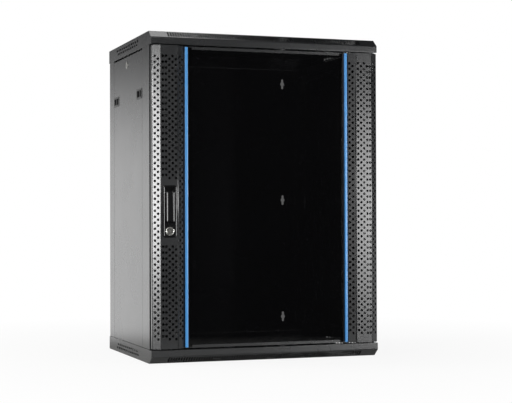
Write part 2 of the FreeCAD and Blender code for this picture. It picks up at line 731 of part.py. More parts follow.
def make_rails():
    """Angle rails with three square holes in every unit of height."""
    low = f"({adjust_level} - 2 * size.bolt)"
    for side_name, side in SIDES:
        for (end_name, end), (_, bolt_depth) in zip(ENDS, rail_bolts):
            name = f"{end_name}_rail_{side_name}"
            face = "size.rail_front" if end == FRONT else "size.rail_rear"
            body = new_body(name)
            profile = new_sketch(body, "XY_Plane", f"{name}_profile", low)
            inner = "(size.rail_clear / 2)"
            outline = [
                (inner, face),
                (rail_half, face),
                (rail_half, f"{face} + {end} * size.rail_web"),
                (f"{rail_half} - size.rail_sheet", f"{face} + {end} * size.rail_web"),
                (f"{rail_half} - size.rail_sheet", f"{face} + {end} * size.rail_sheet"),
                (inner, f"{face} + {end} * size.rail_sheet"),
            ]
            draw(profile, [[(mirrored(side, x), y) for x, y in outline]])
            pad(body, profile, f"{height} - 2 * {low}")
            unit = new_sketch(body, "XZ_Plane", f"{name}_unit", f"-{face}")
            first = "(size.cover_height + size.rail_margin + size.unit_height / 2)"
            columns = around(mirrored(side, "size.hole_row / 2"), "size.rail_hole")
            draw(unit, [rectangle(columns, around(f"({first} + {step} * size.hole_step)",
                                                  "size.rail_hole")) for step in (-1, 0, 1)])
            holes = pocket(body, unit, "4 * size.rail_sheet")
            repeat(body, holes, "Z_Axis", "size.unit_height", "size.rack_units")
            ends = span(side, f"{rail_half} - 2 * size.rail_sheet", f"{rail_half} + 1")
            bolt_holes = drilled(f"{name}_bolt_hole", "x",
                                 [(ends, (bolt_depth, at_end(level, adjust_level)))
                                  for level in (LOWER, UPPER)], "size.bolt")
            finish(cut(name, body, bolt_holes), name)


def make_rail_bolts():
    rows = []
    for side_name, side in SIDES:
        seat = mirrored(side, f"{rail_half} - size.rail_sheet")
        tip = mirrored(side, f"{bracket_half} + size.bolt")
        places = [(seat, tip, (depth, at_end(level, adjust_level)))
                  for _, depth in rail_bolts for level in (LOWER, UPPER)]
        rows.append(screws(f"rail_bolt_{side_name}", "x", places, "size.bolt",
                           head_first=side == RIGHT))
    finish(group("rail_bolts", rows), "rail_bolts")


def make_rear_panel():
    """Flat panel on the rear flanges, with six double keyholes for the wall."""
    body = new_body("rear_panel")
    blank = new_sketch(body, "XZ_Plane", "rear_panel_blank", f"-{rear_plane}")
    gap = "(2 * size.panel_gap)"
    draw(blank, [rectangle(around("0", f"2 * {post_half} - 2 * {gap}"),
                           (f"size.cover_height + {gap}", f"{opening_top} - {gap}"))])
    sheet = pad(body, blank, "size.frame_sheet")
    sheet.Reversed = True
    columns = [mirrored(side, "size.key_spacing / 2") for side in (LEFT, RIGHT)]
    lowest = f"({middle} - size.key_step)"
    straight = "(size.key_slot - size.key_width)"
    slot = new_sketch(body, "XZ_Plane", "rear_panel_slot", f"-{rear_plane}")
    draw(slot, [rectangle(around(x, "size.key_width"), around(lowest, straight))
                for x in columns])
    ends = new_sketch(body, "XZ_Plane", "rear_panel_slot_ends", f"-{rear_plane}")
    draw_circles(ends, [(x, f"{lowest} + {end} * {straight} / 2", "size.key_width / 2")
                        for x in columns for end in (LOWER, UPPER)])
    entry = new_sketch(body, "XZ_Plane", "rear_panel_slot_entry", f"-{rear_plane}")
    draw_circles(entry, [(x, lowest, "size.key_circle / 2") for x in columns])
    for sketch in (slot, ends, entry):
        opening = pocket(body, sketch, "4 * size.frame_sheet")
        repeat(body, opening, "Z_Axis", "size.key_step", "3")
    through = (f"{rear_plane} - size.frame_sheet", "size.cover_depth + 1")
    holes = []
    for side_name, side in SIDES:
        holes += drilled(f"rear_panel_hole_{side_name}", "y",
                         [(through, (mirrored(side, rear_screw_x), level))
                          for level in panel_screw_levels], "size.screw")
    finish(cut("rear_panel", body, holes), "rear_panel")


def make_rear_panel_screws():
    """Screws of the rear panel, with their heads inside so that the back lies flat."""
    seat = f"({rear_plane} - size.frame_sheet)"
    tip = "(size.cover_depth - size.fit)"
    places = [(seat, tip, (mirrored(side, rear_screw_x), level))
              for _, side in SIDES for level in panel_screw_levels]
    row = screws("rear_panel_screws", "y", places, "size.screw", head_first=True)
    finish(row, "rear_panel_screws")


# ---- side panels, their latches and locks -------------------------------------------------

panel_low = "(size.cover_height + size.fit)"
panel_high = f"({opening_top} - size.panel_top_gap)"
latch_depths = (
    ("front", FRONT, "(size.panel_start + size.latch_margin)"),
    ("rear", REAR, f"({panel_end} - size.latch_margin)"),
)
latch_body_length = "(size.latch_length - 2 * size.latch_rim)"
latch_body_height = "(size.latch_height - 2 * size.latch_rim)"


def make_side_panels():
    """Trays whose rims rest on the seats of the posts."""
    for side_name, side in SIDES:
        name = f"side_panel_{side_name}"
        body = new_body(name)
        profile = new_sketch(body, "YZ_Plane", f"{name}_blank",
                             mirrored(side, f"({seat_half} + {post_half} + size.fit) / 2"))
        run = ("size.panel_start + size.panel_gap", f"{panel_end} - size.panel_gap")
        draw(profile, [rectangle(run, (panel_low, panel_high))])
        blank = pad(body, profile, f"{post_half} - {seat_half} - size.fit", symmetric=True)
        doc.recompute()
        tray = body.newObject("PartDesign::Thickness", f"{name}_tray")
        tray.Base = (blank, [inner_face(blank.Shape)])
        tray.setExpression("Value", "size.panel_sheet")
        doc.recompute()
        windows = new_sketch(body, "YZ_Plane", f"{name}_windows", mirrored(side, post_half))
        draw(windows, [rectangle(around(depth, f"{latch_body_length} + 2 * size.fit"),
                                 around("size.latch_centre", f"{latch_body_height} + 2 * size.fit"))
                       for _, _, depth in latch_depths])
        pocket(body, windows, "4 * size.panel_sheet")
        keyhole = new_sketch(body, "YZ_Plane", f"{name}_lock_hole", mirrored(side, post_half))
        draw_circles(keyhole, [("size.side_lock_depth", side_lock_z,
                                "size.side_lock_barrel / 2 + size.drill / 2")])
        pocket(body, keyhole, "4 * size.panel_sheet")
        finish(body, name)


def inner_face(shape):
    """The large face of a panel's blank that looks into the cabinet."""
    upright = [(abs(face.CenterOfMass.x), i) for i, face in enumerate(shape.Faces, start=1)
               if face.BoundBox.XLength < 1e-3]
    return f"Face{min(upright)[1]}"


def latch_housing(name, side, depth):
    z = "size.latch_centre"
    outside = span(side, post_half, f"{post_half} + size.latch_face")
    inside = span(side, f"{post_half} - size.latch_depth", post_half)
    floor = f"({post_half} - size.latch_depth + size.latch_wall)"
    hollow = span(side, floor, f"{post_half} + 2 * size.latch_face")
    face = box(f"{name}_face", outside, around(depth, "size.latch_length"),
               around(z, "size.latch_height"))
    tub = box(f"{name}_tub", inside, around(depth, latch_body_length), around(z, latch_body_height))
    pocket_cut = box(f"{name}_pocket", hollow,
                     around(depth, f"{latch_body_length} - 2 * size.latch_wall"),
                     around(z, f"{latch_body_height} - 2 * size.latch_wall"))
    neck_slot = box(f"{name}_neck_slot", span(side, seat_half, f"{floor} + 1"),
                    around(depth, "size.slider_neck + 2 * size.slider_rest + 4 * size.fit"),
                    around(z, f"{slider_height} / 2 + 2 * size.fit"))
    finish(cut(name, join(f"{name}_solid", [face, tub]), [pocket_cut, neck_slot]), name)


slider_height = f"({latch_body_height} - 2 * size.latch_wall - 2 * size.fit)"


def latch_slider(name, side, end, depth):
    """Sliding plate with a finger rib outside and a tongue that reaches behind the seat."""
    z = "size.latch_centre"
    centre = f"({depth} - {end} * size.slider_rest)"
    floor = f"({post_half} - size.latch_depth + size.latch_wall + size.fit)"
    top = f"({floor} + size.slider_sheet)"
    plate = box(f"{name}_plate", span(side, floor, top), around(centre, "size.slider_length"),
                around(z, slider_height))
    rib = box(f"{name}_rib", span(side, top, f"{post_half} - size.fit"),
              around(centre, "size.slider_grip"), around(z, slider_height))
    tongue_face = f"({seat_back} - size.fit)"
    neck = box(f"{name}_neck", span(side, f"{tongue_face} - size.slider_sheet", floor),
               around(centre, "size.slider_neck"), around(z, f"{slider_height} / 2"))
    edge = "size.panel_start" if end == FRONT else panel_end
    tip = f"({edge} + {end} * (size.seat_width - size.tongue_bite))"
    root = f"({centre} + {end} * size.slider_neck / 2)"
    tongue_run = (tip, root) if end == FRONT else (root, tip)
    tongue = box(f"{name}_tongue", span(side, f"{tongue_face} - size.slider_sheet", tongue_face),
                 tongue_run, around(z, "size.tongue_width"))
    finish(join(name, [plate, rib, neck, tongue]), name)


def make_latches():
    for side_name, side in SIDES:
        for end_name, end, depth in latch_depths:
            latch_housing(f"{end_name}_latch_{side_name}", side, depth)
            latch_slider(f"{end_name}_slider_{side_name}", side, end, depth)


def make_side_locks():
    across = ("size.side_lock_depth", side_lock_z)
    barrels, nuts = [], []
    for side_name, side in SIDES:
        name = f"side_lock_{side_name}"
        barrels.append(side_lock_barrel(name, side, across))
        nuts.append(side_lock_nut(name, side, across))
        outer_end = f"({post_half} + size.side_lock_proud)"
        plug = rod(f"{name}_plug_rod", "x", span(side, side_cam_outer, outer_end), across,
                   "size.side_lock_plug / 2")
        keyway = box(f"{name}_keyway", span(side, f"{post_half} - 4 * size.side_lock_proud",
                                            f"{outer_end} + 1"),
                     around("size.side_lock_depth", "size.key_cut"),
                     around(side_lock_z, "size.key_length"))
        finish(cut(f"{name}_plug", plug, [keyway]), f"{name}_plug")
        cam = box(f"{name}_cam_blade", span(side, f"{side_cam_outer} - size.cam_sheet",
                                            side_cam_outer),
                  ("size.side_lock_depth - size.cam_width / 2",
                   "size.side_lock_depth + size.side_cam_length"),
                  around(side_lock_z, "size.cam_width"))
        finish(cam, f"{name}_cam")
    finish(group("side_lock_barrels", barrels), "side_lock_barrels")
    finish(group("side_lock_nuts", nuts), "side_lock_nuts")


def side_lock_barrel(name, side, across):
    inner_end = f"({side_cam_outer} + size.fit)"
    face = rod(f"{name}_face", "x", span(side, post_half, f"{post_half} + size.side_lock_proud"),
               across, "size.side_lock_face / 2")
    tube = rod(f"{name}_tube", "x", span(side, inner_end, post_half), across,
               "size.side_lock_barrel / 2")
    bore = rod(f"{name}_bore", "x",
               span(side, f"{inner_end} - 1", f"{post_half} + 2 * size.side_lock_proud"),
               across, "size.side_lock_plug / 2 + size.pin_play")
    return cut(f"{name}_barrel", join(f"{name}_shell", [face, tube]), [bore])


def side_lock_nut(name, side, across):
    panel_inside = f"({post_half} - size.panel_sheet)"
    blank = prism(f"{name}_nut_blank", "x",
                  span(side, f"{panel_inside} - size.nut_height", panel_inside), across,
                  "size.nut_width / 2")
    thread = rod(f"{name}_nut_bore", "x",
                 span(side, f"{panel_inside} - 2 * size.nut_height", f"{panel_inside} + 1"),
                 across, "size.side_lock_barrel / 2 + size.pin_play / 2")
    return cut(f"{name}_nut", blank, [thread])


# ---- door --------------------------------------------------------------------------------

def stile_outline(side):
    """Section of a stile: back flange, side wall, two slopes with a flat, and glass ledge."""
    sheet = "size.door_sheet"
    outer_fall = "(size.door_crown / size.outer_slope)"
    inner_fall = "((size.door_crown + size.slope_end) / size.inner_slope)"
    crown = "(-size.door_crown)"
    outline = [
        (f"{door_half} - size.back_flange", "size.door_depth"),
        (door_half, "size.door_depth"),
        (door_half, "0"),
        (crown_outer, crown),
        (crown_inner, crown),
        (slope_foot, "size.slope_end"),
        (slope_foot, "size.ledge_depth"),
        (ledge_half, "size.ledge_depth"),
        (ledge_half, ledge_back),
        (f"{slope_foot} + {sheet}", ledge_back),
        (f"{slope_foot} + {sheet}", f"size.slope_end + {sheet} * (1 - {inner_fall})"),
        (crown_inner, f"{crown} + {sheet}"),
        (crown_outer, f"{crown} + {sheet}"),
        (f"{door_half} - {sheet}", f"{sheet} * (1 - {outer_fall})"),
        (f"{door_half} - {sheet}", f"size.door_depth - {sheet}"),
        (f"{door_half} - size.back_flange", f"size.door_depth - {sheet}"),
    ]
    return [(mirrored(side, x), y) for x, y in outline]


def cap_outline(side):
    """Section of the plates that close a stile's two ends."""
    outline = [
        (f"{door_half} - size.door_sheet / 2", "size.door_depth - size.door_sheet / 2"),
        (f"{door_half} - size.door_sheet / 2", "size.door_sheet / 2"),
        (crown_outer, "size.door_sheet / 2 - size.door_crown"),
        (crown_inner, "size.door_sheet / 2 - size.door_crown"),
        (slope_foot, "size.slope_end + size.door_sheet / 2"),
        (slope_foot, "size.door_depth - size.door_sheet / 2"),
    ]
    return [(mirrored(side, x), y) for x, y in outline]


def perforate(body, name, side, first_row, rows):
    """Two staggered columns of holes through a stile's flat face."""
    for column in (0, 1):
        sketch = new_sketch(body, "XZ_Plane", f"{name}_{column}", "size.door_crown")
        x = mirrored(side, f"{crown_inner} + size.hole_edge + {column} * size.hole_column")
        low = f"({door_low} + size.hole_low + size.hole_pitch * ({first_row} + {column} / 2))"
        draw(sketch, [rectangle(around(x, "size.hole_side"), around(low, "size.hole_side"))])
        hole = pocket(body, sketch, "4 * size.door_sheet")
        repeat(body, hole, "Z_Axis", "size.hole_pitch", rows)


def stile(name, side):
    body = new_body(name)
    section = new_sketch(body, "XY_Plane", f"{name}_section", door_low)
    draw(section, [stile_outline(side)])
    pad(body, section, f"{door_high} - {door_low}")
    for end_name, level in (("low", door_low), ("high", f"{door_high} - size.door_sheet")):
        cap = new_sketch(body, "XY_Plane", f"{name}_{end_name}_cap", level)
        draw(cap, [cap_outline(side)])
        pad(body, cap, "size.door_sheet")
    return body


def make_stiles():
    left = stile("door_stile_left", LEFT)
    perforate(left, "left_lower_holes", LEFT, "0", "size.rows_below")
    perforate(left, "left_upper_holes", LEFT, "(size.hole_rows - size.rows_above)",
              "size.rows_above")
    window = new_sketch(left, "XZ_Plane", "handle_window", "size.door_crown")
    draw(window, [rectangle(around(handle_x, f"{cup_width} + 2 * size.fit"),
                            (f"{cup_low} - size.fit", f"{cup_high} + size.fit"))])
    pocket(left, window, "4 * size.door_sheet")
    finish(left, "door_stile_left")

    right = stile("door_stile_right", RIGHT)
    perforate(right, "right_holes", RIGHT, "0", "size.hole_rows")
    axis = (hinge_x, "size.hinge_depth")
    ends = (f"{door_low} - 1", f"{door_high} + 1")
    bore = rod("stile_pin_bore", "z", ends, axis, "size.hinge_pin / 2 + size.pin_play")
    finish(cut("door_stile_right", right, [bore]), "door_stile_right")


def make_door_bars():
    """Folded bars that hold the upper and lower edge of the glass between the stiles."""
    for name, end in (("door_bottom_bar", LOWER), ("door_top_bar", UPPER)):
        sheet = "size.door_sheet"
        behind = f"({ledge_back} + size.fit)"
        channel = [
            (behind, "0"), ("size.door_depth", "0"), ("size.door_depth", "size.bar_back"),
            (f"size.door_depth - {sheet}", "size.bar_back"), (f"size.door_depth - {sheet}", sheet),
            (behind, sheet),
        ]
        lip = [
            ("size.ledge_depth", "0"), (behind, "0"), (behind, sheet), (ledge_back, sheet),
            (ledge_back, "size.bar_lip"), ("size.ledge_depth", "size.bar_lip"),
        ]
        body = new_body(name)
        for part, outline, width in (("channel", channel, f"2 * {slope_foot}"),
                                     ("lip", lip, f"2 * ({ledge_half} - size.bar_gap)")):
            sketch = new_sketch(body, "YZ_Plane", f"{name}_{part}", "0")
            draw(sketch, [[(y, at_end(end, f"({door_low} + {z})")) for y, z in outline]])
            pad(body, sketch, width, symmetric=True)
        finish(body, name)


def make_glass():
    ends = (f"{door_low} + size.door_sheet + size.fit", f"{door_high} - size.door_sheet - size.fit")
    half = f"({ledge_half} + size.glass_lap)"
    finish(box("door_glass", (f"-{half}", half), (glass_front, glass_back), ends), "door_glass")
    for side_name, side in SIDES:
        tape = box(f"tape_{side_name}", span(side, f"{ledge_half} + size.fit", half),
                   (ledge_back, glass_front), (f"{door_low} + size.bar_back",
                                               f"{door_high} - size.bar_back"))
        finish(tape, f"glass_tape_{side_name}")
        strip_edge = f"({slope_foot} - size.fit)"
        strip = box(f"accent_{side_name}",
                    span(side, f"{strip_edge} - size.accent_width", strip_edge),
                    ("size.slope_end", "size.ledge_depth"),
                    (f"{door_low} + size.accent_end", f"{door_high} - size.accent_end"))
        finish(strip, f"accent_strip_{side_name}")


# ---- hinge -------------------------------------------------------------------------------

hinge_back = "(size.door_depth - size.door_sheet)"


def hinge_bracket(name, low, tall):
    """A bent strap behind the door's edge, with two ears that guide a pin."""
    body = new_body(name)
    sketch = new_sketch(body, "YZ_Plane", f"{name}_section", hinge_x)
    ear = "(size.hinge_depth - size.collar / 2)"
    inside = f"({hinge_back} - size.frame_sheet)"
    high = f"({low} + {tall})"
    draw(sketch, [[
        (hinge_back, low), (hinge_back, high), (ear, high), (ear, f"{high} - size.frame_sheet"),
        (inside, f"{high} - size.frame_sheet"), (inside, f"{low} + size.frame_sheet"),
        (ear, f"{low} + size.frame_sheet"), (ear, low),
    ]])
    pad(body, sketch, "size.bracket_width", symmetric=True)
    bore = rod(f"{name}_bore", "z", (f"{low} - 1", f"{high} + 1"), (hinge_x, "size.hinge_depth"),
               "size.hinge_pin / 2 + size.pin_play")
    return cut(name, body, [bore])


def make_hinge():
    axis = (hinge_x, "size.hinge_depth")
    inner_low = f"({door_low} + size.door_sheet)"
    inner_high = f"({door_high} - size.door_sheet)"
    brackets = [
        hinge_bracket("lower_hinge_bracket", inner_low, "size.low_bracket"),
        hinge_bracket("upper_hinge_bracket", f"({inner_high} - size.high_bracket)",
                      "size.high_bracket"),
    ]
    finish(group("hinge_brackets", brackets), "hinge_brackets")

    low_shank = rod("lower_pin_shank", "z",
                    ("size.cover_height - 3 * size.cover_sheet",
                     f"{inner_low} + size.low_bracket + size.hinge_pin / 2"),
                    axis, "size.hinge_pin / 2")
    low_collar = rod("lower_pin_collar", "z",
                     ("size.cover_height + size.fit", f"{door_low} - size.fit"), axis,
                     "size.collar / 2")
    finish(join("lower_hinge_pin", [low_shank, low_collar]), "lower_hinge_pin")

    bracket_low = f"({inner_high} - size.high_bracket)"
    shank = rod("upper_pin_shank", "z",
                (f"{bracket_low} - size.hinge_pin", f"{opening_top} + 2.5 * size.cover_sheet"),
                axis, "size.hinge_pin / 2")
    rest = f"({inner_high} - size.frame_sheet - size.fit)"
    collar = rod("upper_pin_collar", "z", (f"{rest} - 2 * size.frame_sheet", rest), axis,
                 "size.collar / 2")
    arm = rod("upper_pin_arm", "x",
              (f"{hinge_x} - 3 * size.collar", hinge_x),
              ("size.hinge_depth", f"{rest} - size.frame_sheet"), "0.8 * size.frame_sheet")
    finish(join("upper_hinge_pin", [shank, collar, arm]), "upper_hinge_pin")


# ---- handle and door lock ----------------------------------------------------------------

cup_width = "(size.handle_width - 2 * size.cup_margin)"
cup_low = "(size.handle_low + 2 * size.cup_margin)"
cup_high = "(size.handle_low + size.handle_height - 2 * size.cup_margin)"


def make_handle():
    body = new_body("handle_bezel")
    plate = new_sketch(body, "XZ_Plane", "bezel_plate", "size.door_crown")
    draw(plate, [rectangle(around(handle_x, "size.handle_width"),
                           ("size.handle_low", "size.handle_low + size.handle_height"))])
    rim = pad(body, plate, "size.handle_proud")
    doc.recompute()
    corners = body.newObject("PartDesign::Fillet", "bezel_corners")
    corners.Base = (rim, [f"Edge{i}" for i, edge in enumerate(rim.Shape.Edges, start=1)
                          if abs(edge.Length - number("size.handle_proud")) < 1e-3])
    corners.setExpression("Radius", "size.handle_corner")
    cup = new_sketch(body, "XZ_Plane", "bezel_cup", "size.door_crown")
    draw(cup, [rectangle(around(handle_x, cup_width), (cup_low, cup_high))])
    cup_pad = pad(body, cup, "size.cup_depth")
    cup_pad.Reversed = True
    doc.recompute()

    room = "(size.lever_width + 2 * size.lever_gap)"
    bay = box("lever_bay", around(handle_x, room),
              (f"{bezel_front} - 1", f"{cup_back} - size.cup_wall"),
              (f"{lever_top} - size.lever_height - size.lever_gap",
               f"{lever_top} + 2 * size.lever_gap"))
    pin_bore = rod("lever_pin_bore", "x", around(handle_x, f"{cup_width} + 2"),
                   (lever_centre, lever_axis), "size.lever_pin / 2 + size.pin_play / 2")
    face_bore = rod("lock_face_bore", "y", (f"{bezel_front} - 1", lock_step),
                    (handle_x, lock_z), "size.lock_face / 2 + size.pin_play")
    barrel_bore = rod("lock_barrel_bore", "y", (f"{lock_step} - 1", f"{cup_back} + 1"),
                      (handle_x, lock_z), "size.lock_barrel / 2 + size.pin_play")
    finish(cut("handle_bezel", body, [bay, pin_bore, face_bore, barrel_bore]), "handle_bezel")


lock_step = f"({bezel_front} + size.handle_proud + 2 * size.lock_proud)"


def make_lever():
    x = around(handle_x, "size.lever_width")
    blade = box("lever_blade", x, ("-size.handle_reach", "size.lever_sheet - size.handle_reach"),
                (f"{lever_top} - size.lever_height", lever_axis))
    eye = rod("lever_eye_rod", "x", x, (lever_centre, lever_axis), "size.lever_eye")
    bore = rod("lever_bore", "x", around(handle_x, "size.lever_width + 2"),
               (lever_centre, lever_axis), "size.lever_pin / 2 + size.pin_play / 2")
    finish(cut("handle_lever", join("lever_solid", [blade, eye]), [bore]), "handle_lever")
    pin = rod("lever_pin_rod", "x", around(handle_x, cup_width), (lever_centre, lever_axis),
              "size.lever_pin / 2")
    finish(pin, "handle_lever_pin")


def make_door_lock():
    across = (handle_x, lock_z)
    face = rod("door_lock_face", "y",
               (f"{bezel_front} - size.lock_proud", f"{lock_step} - size.fit"), across,
               "size.lock_face / 2")
    barrel = rod("door_lock_barrel", "y", (f"{bezel_front} + size.handle_proud", cam_front),
                 across, "size.lock_barrel / 2")
    keyway = box("door_lock_keyway", around(handle_x, "size.key_cut"),
                 (f"{bezel_front} - 2 * size.lock_proud", f"{bezel_front} + 3 * size.lock_proud"),
                 around(lock_z, "size.key_length"))
    solid = join("door_lock_solid", [face, barrel])
    finish(cut("door_lock_plug", solid, [keyway]), "door_lock_plug")

    body = new_body("door_lock_cam")
    blade = new_sketch(body, "XZ_Plane", "cam_blade", f"-{cam_front}")
    half = "(size.cam_width / 2)"
    nose = "(size.cam_width / 3)"
    draw(blade, [[
        (f"{handle_x} - {half}", f"{lock_z} + {half}"),
        (f"{handle_x} - {half}", f"{lock_z} - {half}"),
        (f"{handle_x} - {nose}", f"{lock_z} - size.cam_length"),
        (f"{handle_x} + {nose}", f"{lock_z} - size.cam_length"),
        (f"{handle_x} + {half}", f"{lock_z} - {half}"),
        (f"{handle_x} + {half}", f"{lock_z} + {half}"),
    ]])
    cam = pad(body, blade, "size.cam_sheet")
    cam.Reversed = True
    finish(body, "door_lock_cam")
    seat = f"({cam_front} + size.cam_sheet)"
    head = prism("door_cam_screw", "y", (seat, f"{seat} + size.head_high * size.bolt"), across,
                 "size.head_wide * size.bolt / 2")
    finish(head, "door_cam_screw")


def make_handle_clamp():
    """A bent strap that pulls the handle against the door from behind."""
    body = new_body("handle_clamp")
    section = new_sketch(body, "YZ_Plane", "clamp_section", handle_x)
    low = "(size.handle_low - size.clamp_margin)"
    high = "(size.handle_low + size.handle_height + size.clamp_margin)"
    back = f"({cup_back} + size.frame_sheet)"
    foot = "(size.door_sheet - size.door_crown)"
    draw(section, [[
        (foot, low), (back, low), (back, high), (foot, high), (foot, f"{high} - size.frame_sheet"),
        (cup_back, f"{high} - size.frame_sheet"), (cup_back, f"{low} + size.frame_sheet"),
        (foot, f"{low} + size.frame_sheet"),
    ]])
    pad(body, section, "size.clamp_width + size.lock_barrel / 2", symmetric=True)
    ends = (f"{cup_back} - 1", f"{back} + 1")
    bore = rod("clamp_barrel_bore", "y", ends, (handle_x, lock_z),
               "size.lock_barrel / 2 + size.pin_play")
    screw_z = f"({lock_z} + size.lock_face / 2 + size.screw)"
    hole = drilled("clamp_screw_hole", "y", [(ends, (handle_x, screw_z))], "size.screw")
    finish(cut("handle_clamp", body, [bore] + hole), "handle_clamp")
    screw = screws("clamp_screw", "y", [(back, f"{cup_back} + size.fit", (handle_x, screw_z))],
                   "size.screw", head_first=False)
    finish(screw, "handle_clamp_screw")


# ---- build, check and write --------------------------------------------------------------

make_covers()
make_entry_plates()
make_posts()
make_brackets()
make_bracket_screws()
make_rails()
make_rail_bolts()
make_rear_panel()
make_rear_panel_screws()
make_side_panels()
make_latches()
make_side_locks()
make_stiles()
make_door_bars()
make_glass()
make_hinge()
make_handle()
make_lever()
make_door_lock()
make_handle_clamp()
doc.recompute()

failed = [obj.Name for obj in doc.Objects if {"Invalid", "Error"} & set(obj.State)]
if failed:
    raise RuntimeError(f"these objects could not be built: {', '.join(failed)}")
for obj in finished:
    if obj.Shape.isNull() or not obj.Shape.isValid() or not obj.Shape.Solids:
        raise RuntimeError(f"{obj.Label} has no sound solid")

os.makedirs("parts", exist_ok=True)
for obj in finished:
    obj.Shape.exportStep(f"parts/{obj.Label}.step")
print(len(finished), "pieces written")
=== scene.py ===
import json
import math

import bmesh
import bpy
from mathutils import Matrix, Vector
from mathutils.geometry import delaunay_2d_cdt


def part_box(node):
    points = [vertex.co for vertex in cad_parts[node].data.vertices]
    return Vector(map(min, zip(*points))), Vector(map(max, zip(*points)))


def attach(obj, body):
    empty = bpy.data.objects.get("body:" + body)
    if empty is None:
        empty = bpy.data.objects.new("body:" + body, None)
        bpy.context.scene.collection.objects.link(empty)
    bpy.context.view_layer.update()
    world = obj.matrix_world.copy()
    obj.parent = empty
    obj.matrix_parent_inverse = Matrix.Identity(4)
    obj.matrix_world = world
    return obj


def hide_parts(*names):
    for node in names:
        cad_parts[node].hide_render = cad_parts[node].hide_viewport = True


# A wall mount network cabinet in satin black sheet steel. X runs to the right, Y to the rear
# and Z up. The pieces are drawn in millimetres: x from the middle, v from the covers' front
# face and z from the floor. A flat panel is cut out with its holes, and the panels of one
# sheet are then joined and thickened.

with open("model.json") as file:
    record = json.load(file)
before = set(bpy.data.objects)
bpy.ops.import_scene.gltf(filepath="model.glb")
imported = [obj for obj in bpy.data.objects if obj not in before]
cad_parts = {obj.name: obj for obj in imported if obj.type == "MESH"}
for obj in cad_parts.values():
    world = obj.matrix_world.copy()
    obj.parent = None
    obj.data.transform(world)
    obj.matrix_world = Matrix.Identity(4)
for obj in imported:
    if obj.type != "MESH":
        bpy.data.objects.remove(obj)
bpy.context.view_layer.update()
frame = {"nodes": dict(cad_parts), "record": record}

MM = 0.001
SIDES = (("left", -1), ("right", 1))
cover_low, cover_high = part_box("top_cover")
FRONT_FACE = cover_low[1]
HEIGHT = cover_high[2] / MM
HALF_WIDTH = cover_high[0] / MM
DEPTH = (cover_high[1] - FRONT_FACE) / MM


def at(x, v, z):
    """A point in the row frame, in metres."""
    return Vector((x * MM, FRONT_FACE + v * MM, z * MM))


def box_mm(node):
    """The low and the high corner of a node's box as x, v and z; v is the vector's y."""
    return [Vector((x, y - FRONT_FACE, z)) / MM for x, y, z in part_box(node)]


# ---- materials -----------------------------------------------------------------------------

NOISE, CELLS, BUMP = "ShaderNodeTexNoise", "ShaderNodeTexVoronoi", "ShaderNodeBump"
MIX, RANGE, MATHS = "ShaderNodeMixRGB", "ShaderNodeMapRange", "ShaderNodeMath"
# noise seldom leaves this span, so it is stretched from here to the values that it drives
NOISE_SPAN = {"From Min": 0.3, "From Max": 0.7}
# v where the bright face of a blue strip ends and painted shade on its sides begins, and where
# that painted shade is full
STRIP_PAINTED_SHADE = (-3.6, -2.4)


def srgb(code):
    """A hex colour as linear values, opaque."""
    values = [int(code[i:i + 2], 16) / 255 for i in (1, 3, 5)]
    return [c / 12.92 if c <= 0.04045 else ((c + 0.055) / 1.055) ** 2.4 for c in values] + [1]


def per_mm(size):
    """The scale at which one blotch, line or cell of a texture is that many mm across."""
    return 1 / (size * MM)


def add(tree, kind, settings=(), links=()):
    """Adds a node, sets its properties or sockets, and links other nodes to its sockets.

    A link comes from a socket, or from the first output of a node.
    """
    node = tree.nodes.new(kind)
    for key, value in dict(settings).items():
        if isinstance(key, str) and hasattr(node, key):
            setattr(node, key, value)
        else:
            node.inputs[key].default_value = value
    for key, source in dict(links).items():
        socket = source.outputs[0] if isinstance(source, bpy.types.Node) else source
        tree.links.new(socket, node.inputs[key])
    return node


def new_material(name):
    """An empty material, its tree, and a link to coordinates that go with the piece."""
    material = bpy.data.materials.new(name)
    material.use_nodes = True
    tree = material.node_tree
    tree.nodes.clear()
    return material, tree, {"Vector": add(tree, "ShaderNodeTexCoord").outputs["Object"]}


def finish_surface(tree, settings, links):
    """Ends a material with its surface shader."""
    shader = add(tree, "ShaderNodeBsdfPrincipled", settings, links)
    add(tree, "ShaderNodeOutputMaterial", links={"Surface": shader})


def powder_coated_steel():
    """Polyester powder baked on steel: satin, with a soft orange peel about 1.5 mm across."""
    material, tree, place = new_material("powder_coated_steel")
    peel = add(tree, NOISE, {"Scale": per_mm(1.5)}, place)
    drift = add(tree, NOISE, {"Scale": per_mm(90), "Detail": 3}, place)
    colour = add(tree, MIX, {"Color1": srgb("#161718"), "Color2": srgb("#1b1c1e")},
                 {"Fac": drift})
    gloss = add(tree, RANGE, NOISE_SPAN | {"To Min": 0.26, "To Max": 0.28}, {"Value": drift})
    relief = add(tree, BUMP, {"Strength": 0.12, "Distance": 0.02 * MM}, {"Height": peel})
    finish_surface(tree, {"Metallic": 0, "IOR": 1.7},
                   {"Base Color": colour, "Roughness": gloss, "Normal": relief})
    return material


def moulded_abs(name, first, second, roughness):
    """Injection moulded ABS: the mould's fine grain, drawn 0.8 mm coarse so that it shows."""
    material, tree, place = new_material(name)
    fine = add(tree, NOISE, {"Scale": per_mm(0.8)}, place)
    broad = add(tree, NOISE, {"Scale": per_mm(25)}, place)
    colour = add(tree, MIX, {"Color1": srgb(first), "Color2": srgb(second)}, {"Fac": broad})
    gloss = add(tree, RANGE, NOISE_SPAN | {"To Min": roughness - 0.04,
                                           "To Max": roughness + 0.04}, {"Value": fine})
    relief = add(tree, BUMP, {"Strength": 0.4, "Distance": 0.03 * MM}, {"Height": fine})
    finish_surface(tree, {"Metallic": 0, "IOR": 1.53},
                   {"Base Color": colour, "Roughness": gloss, "Normal": relief})
    return material


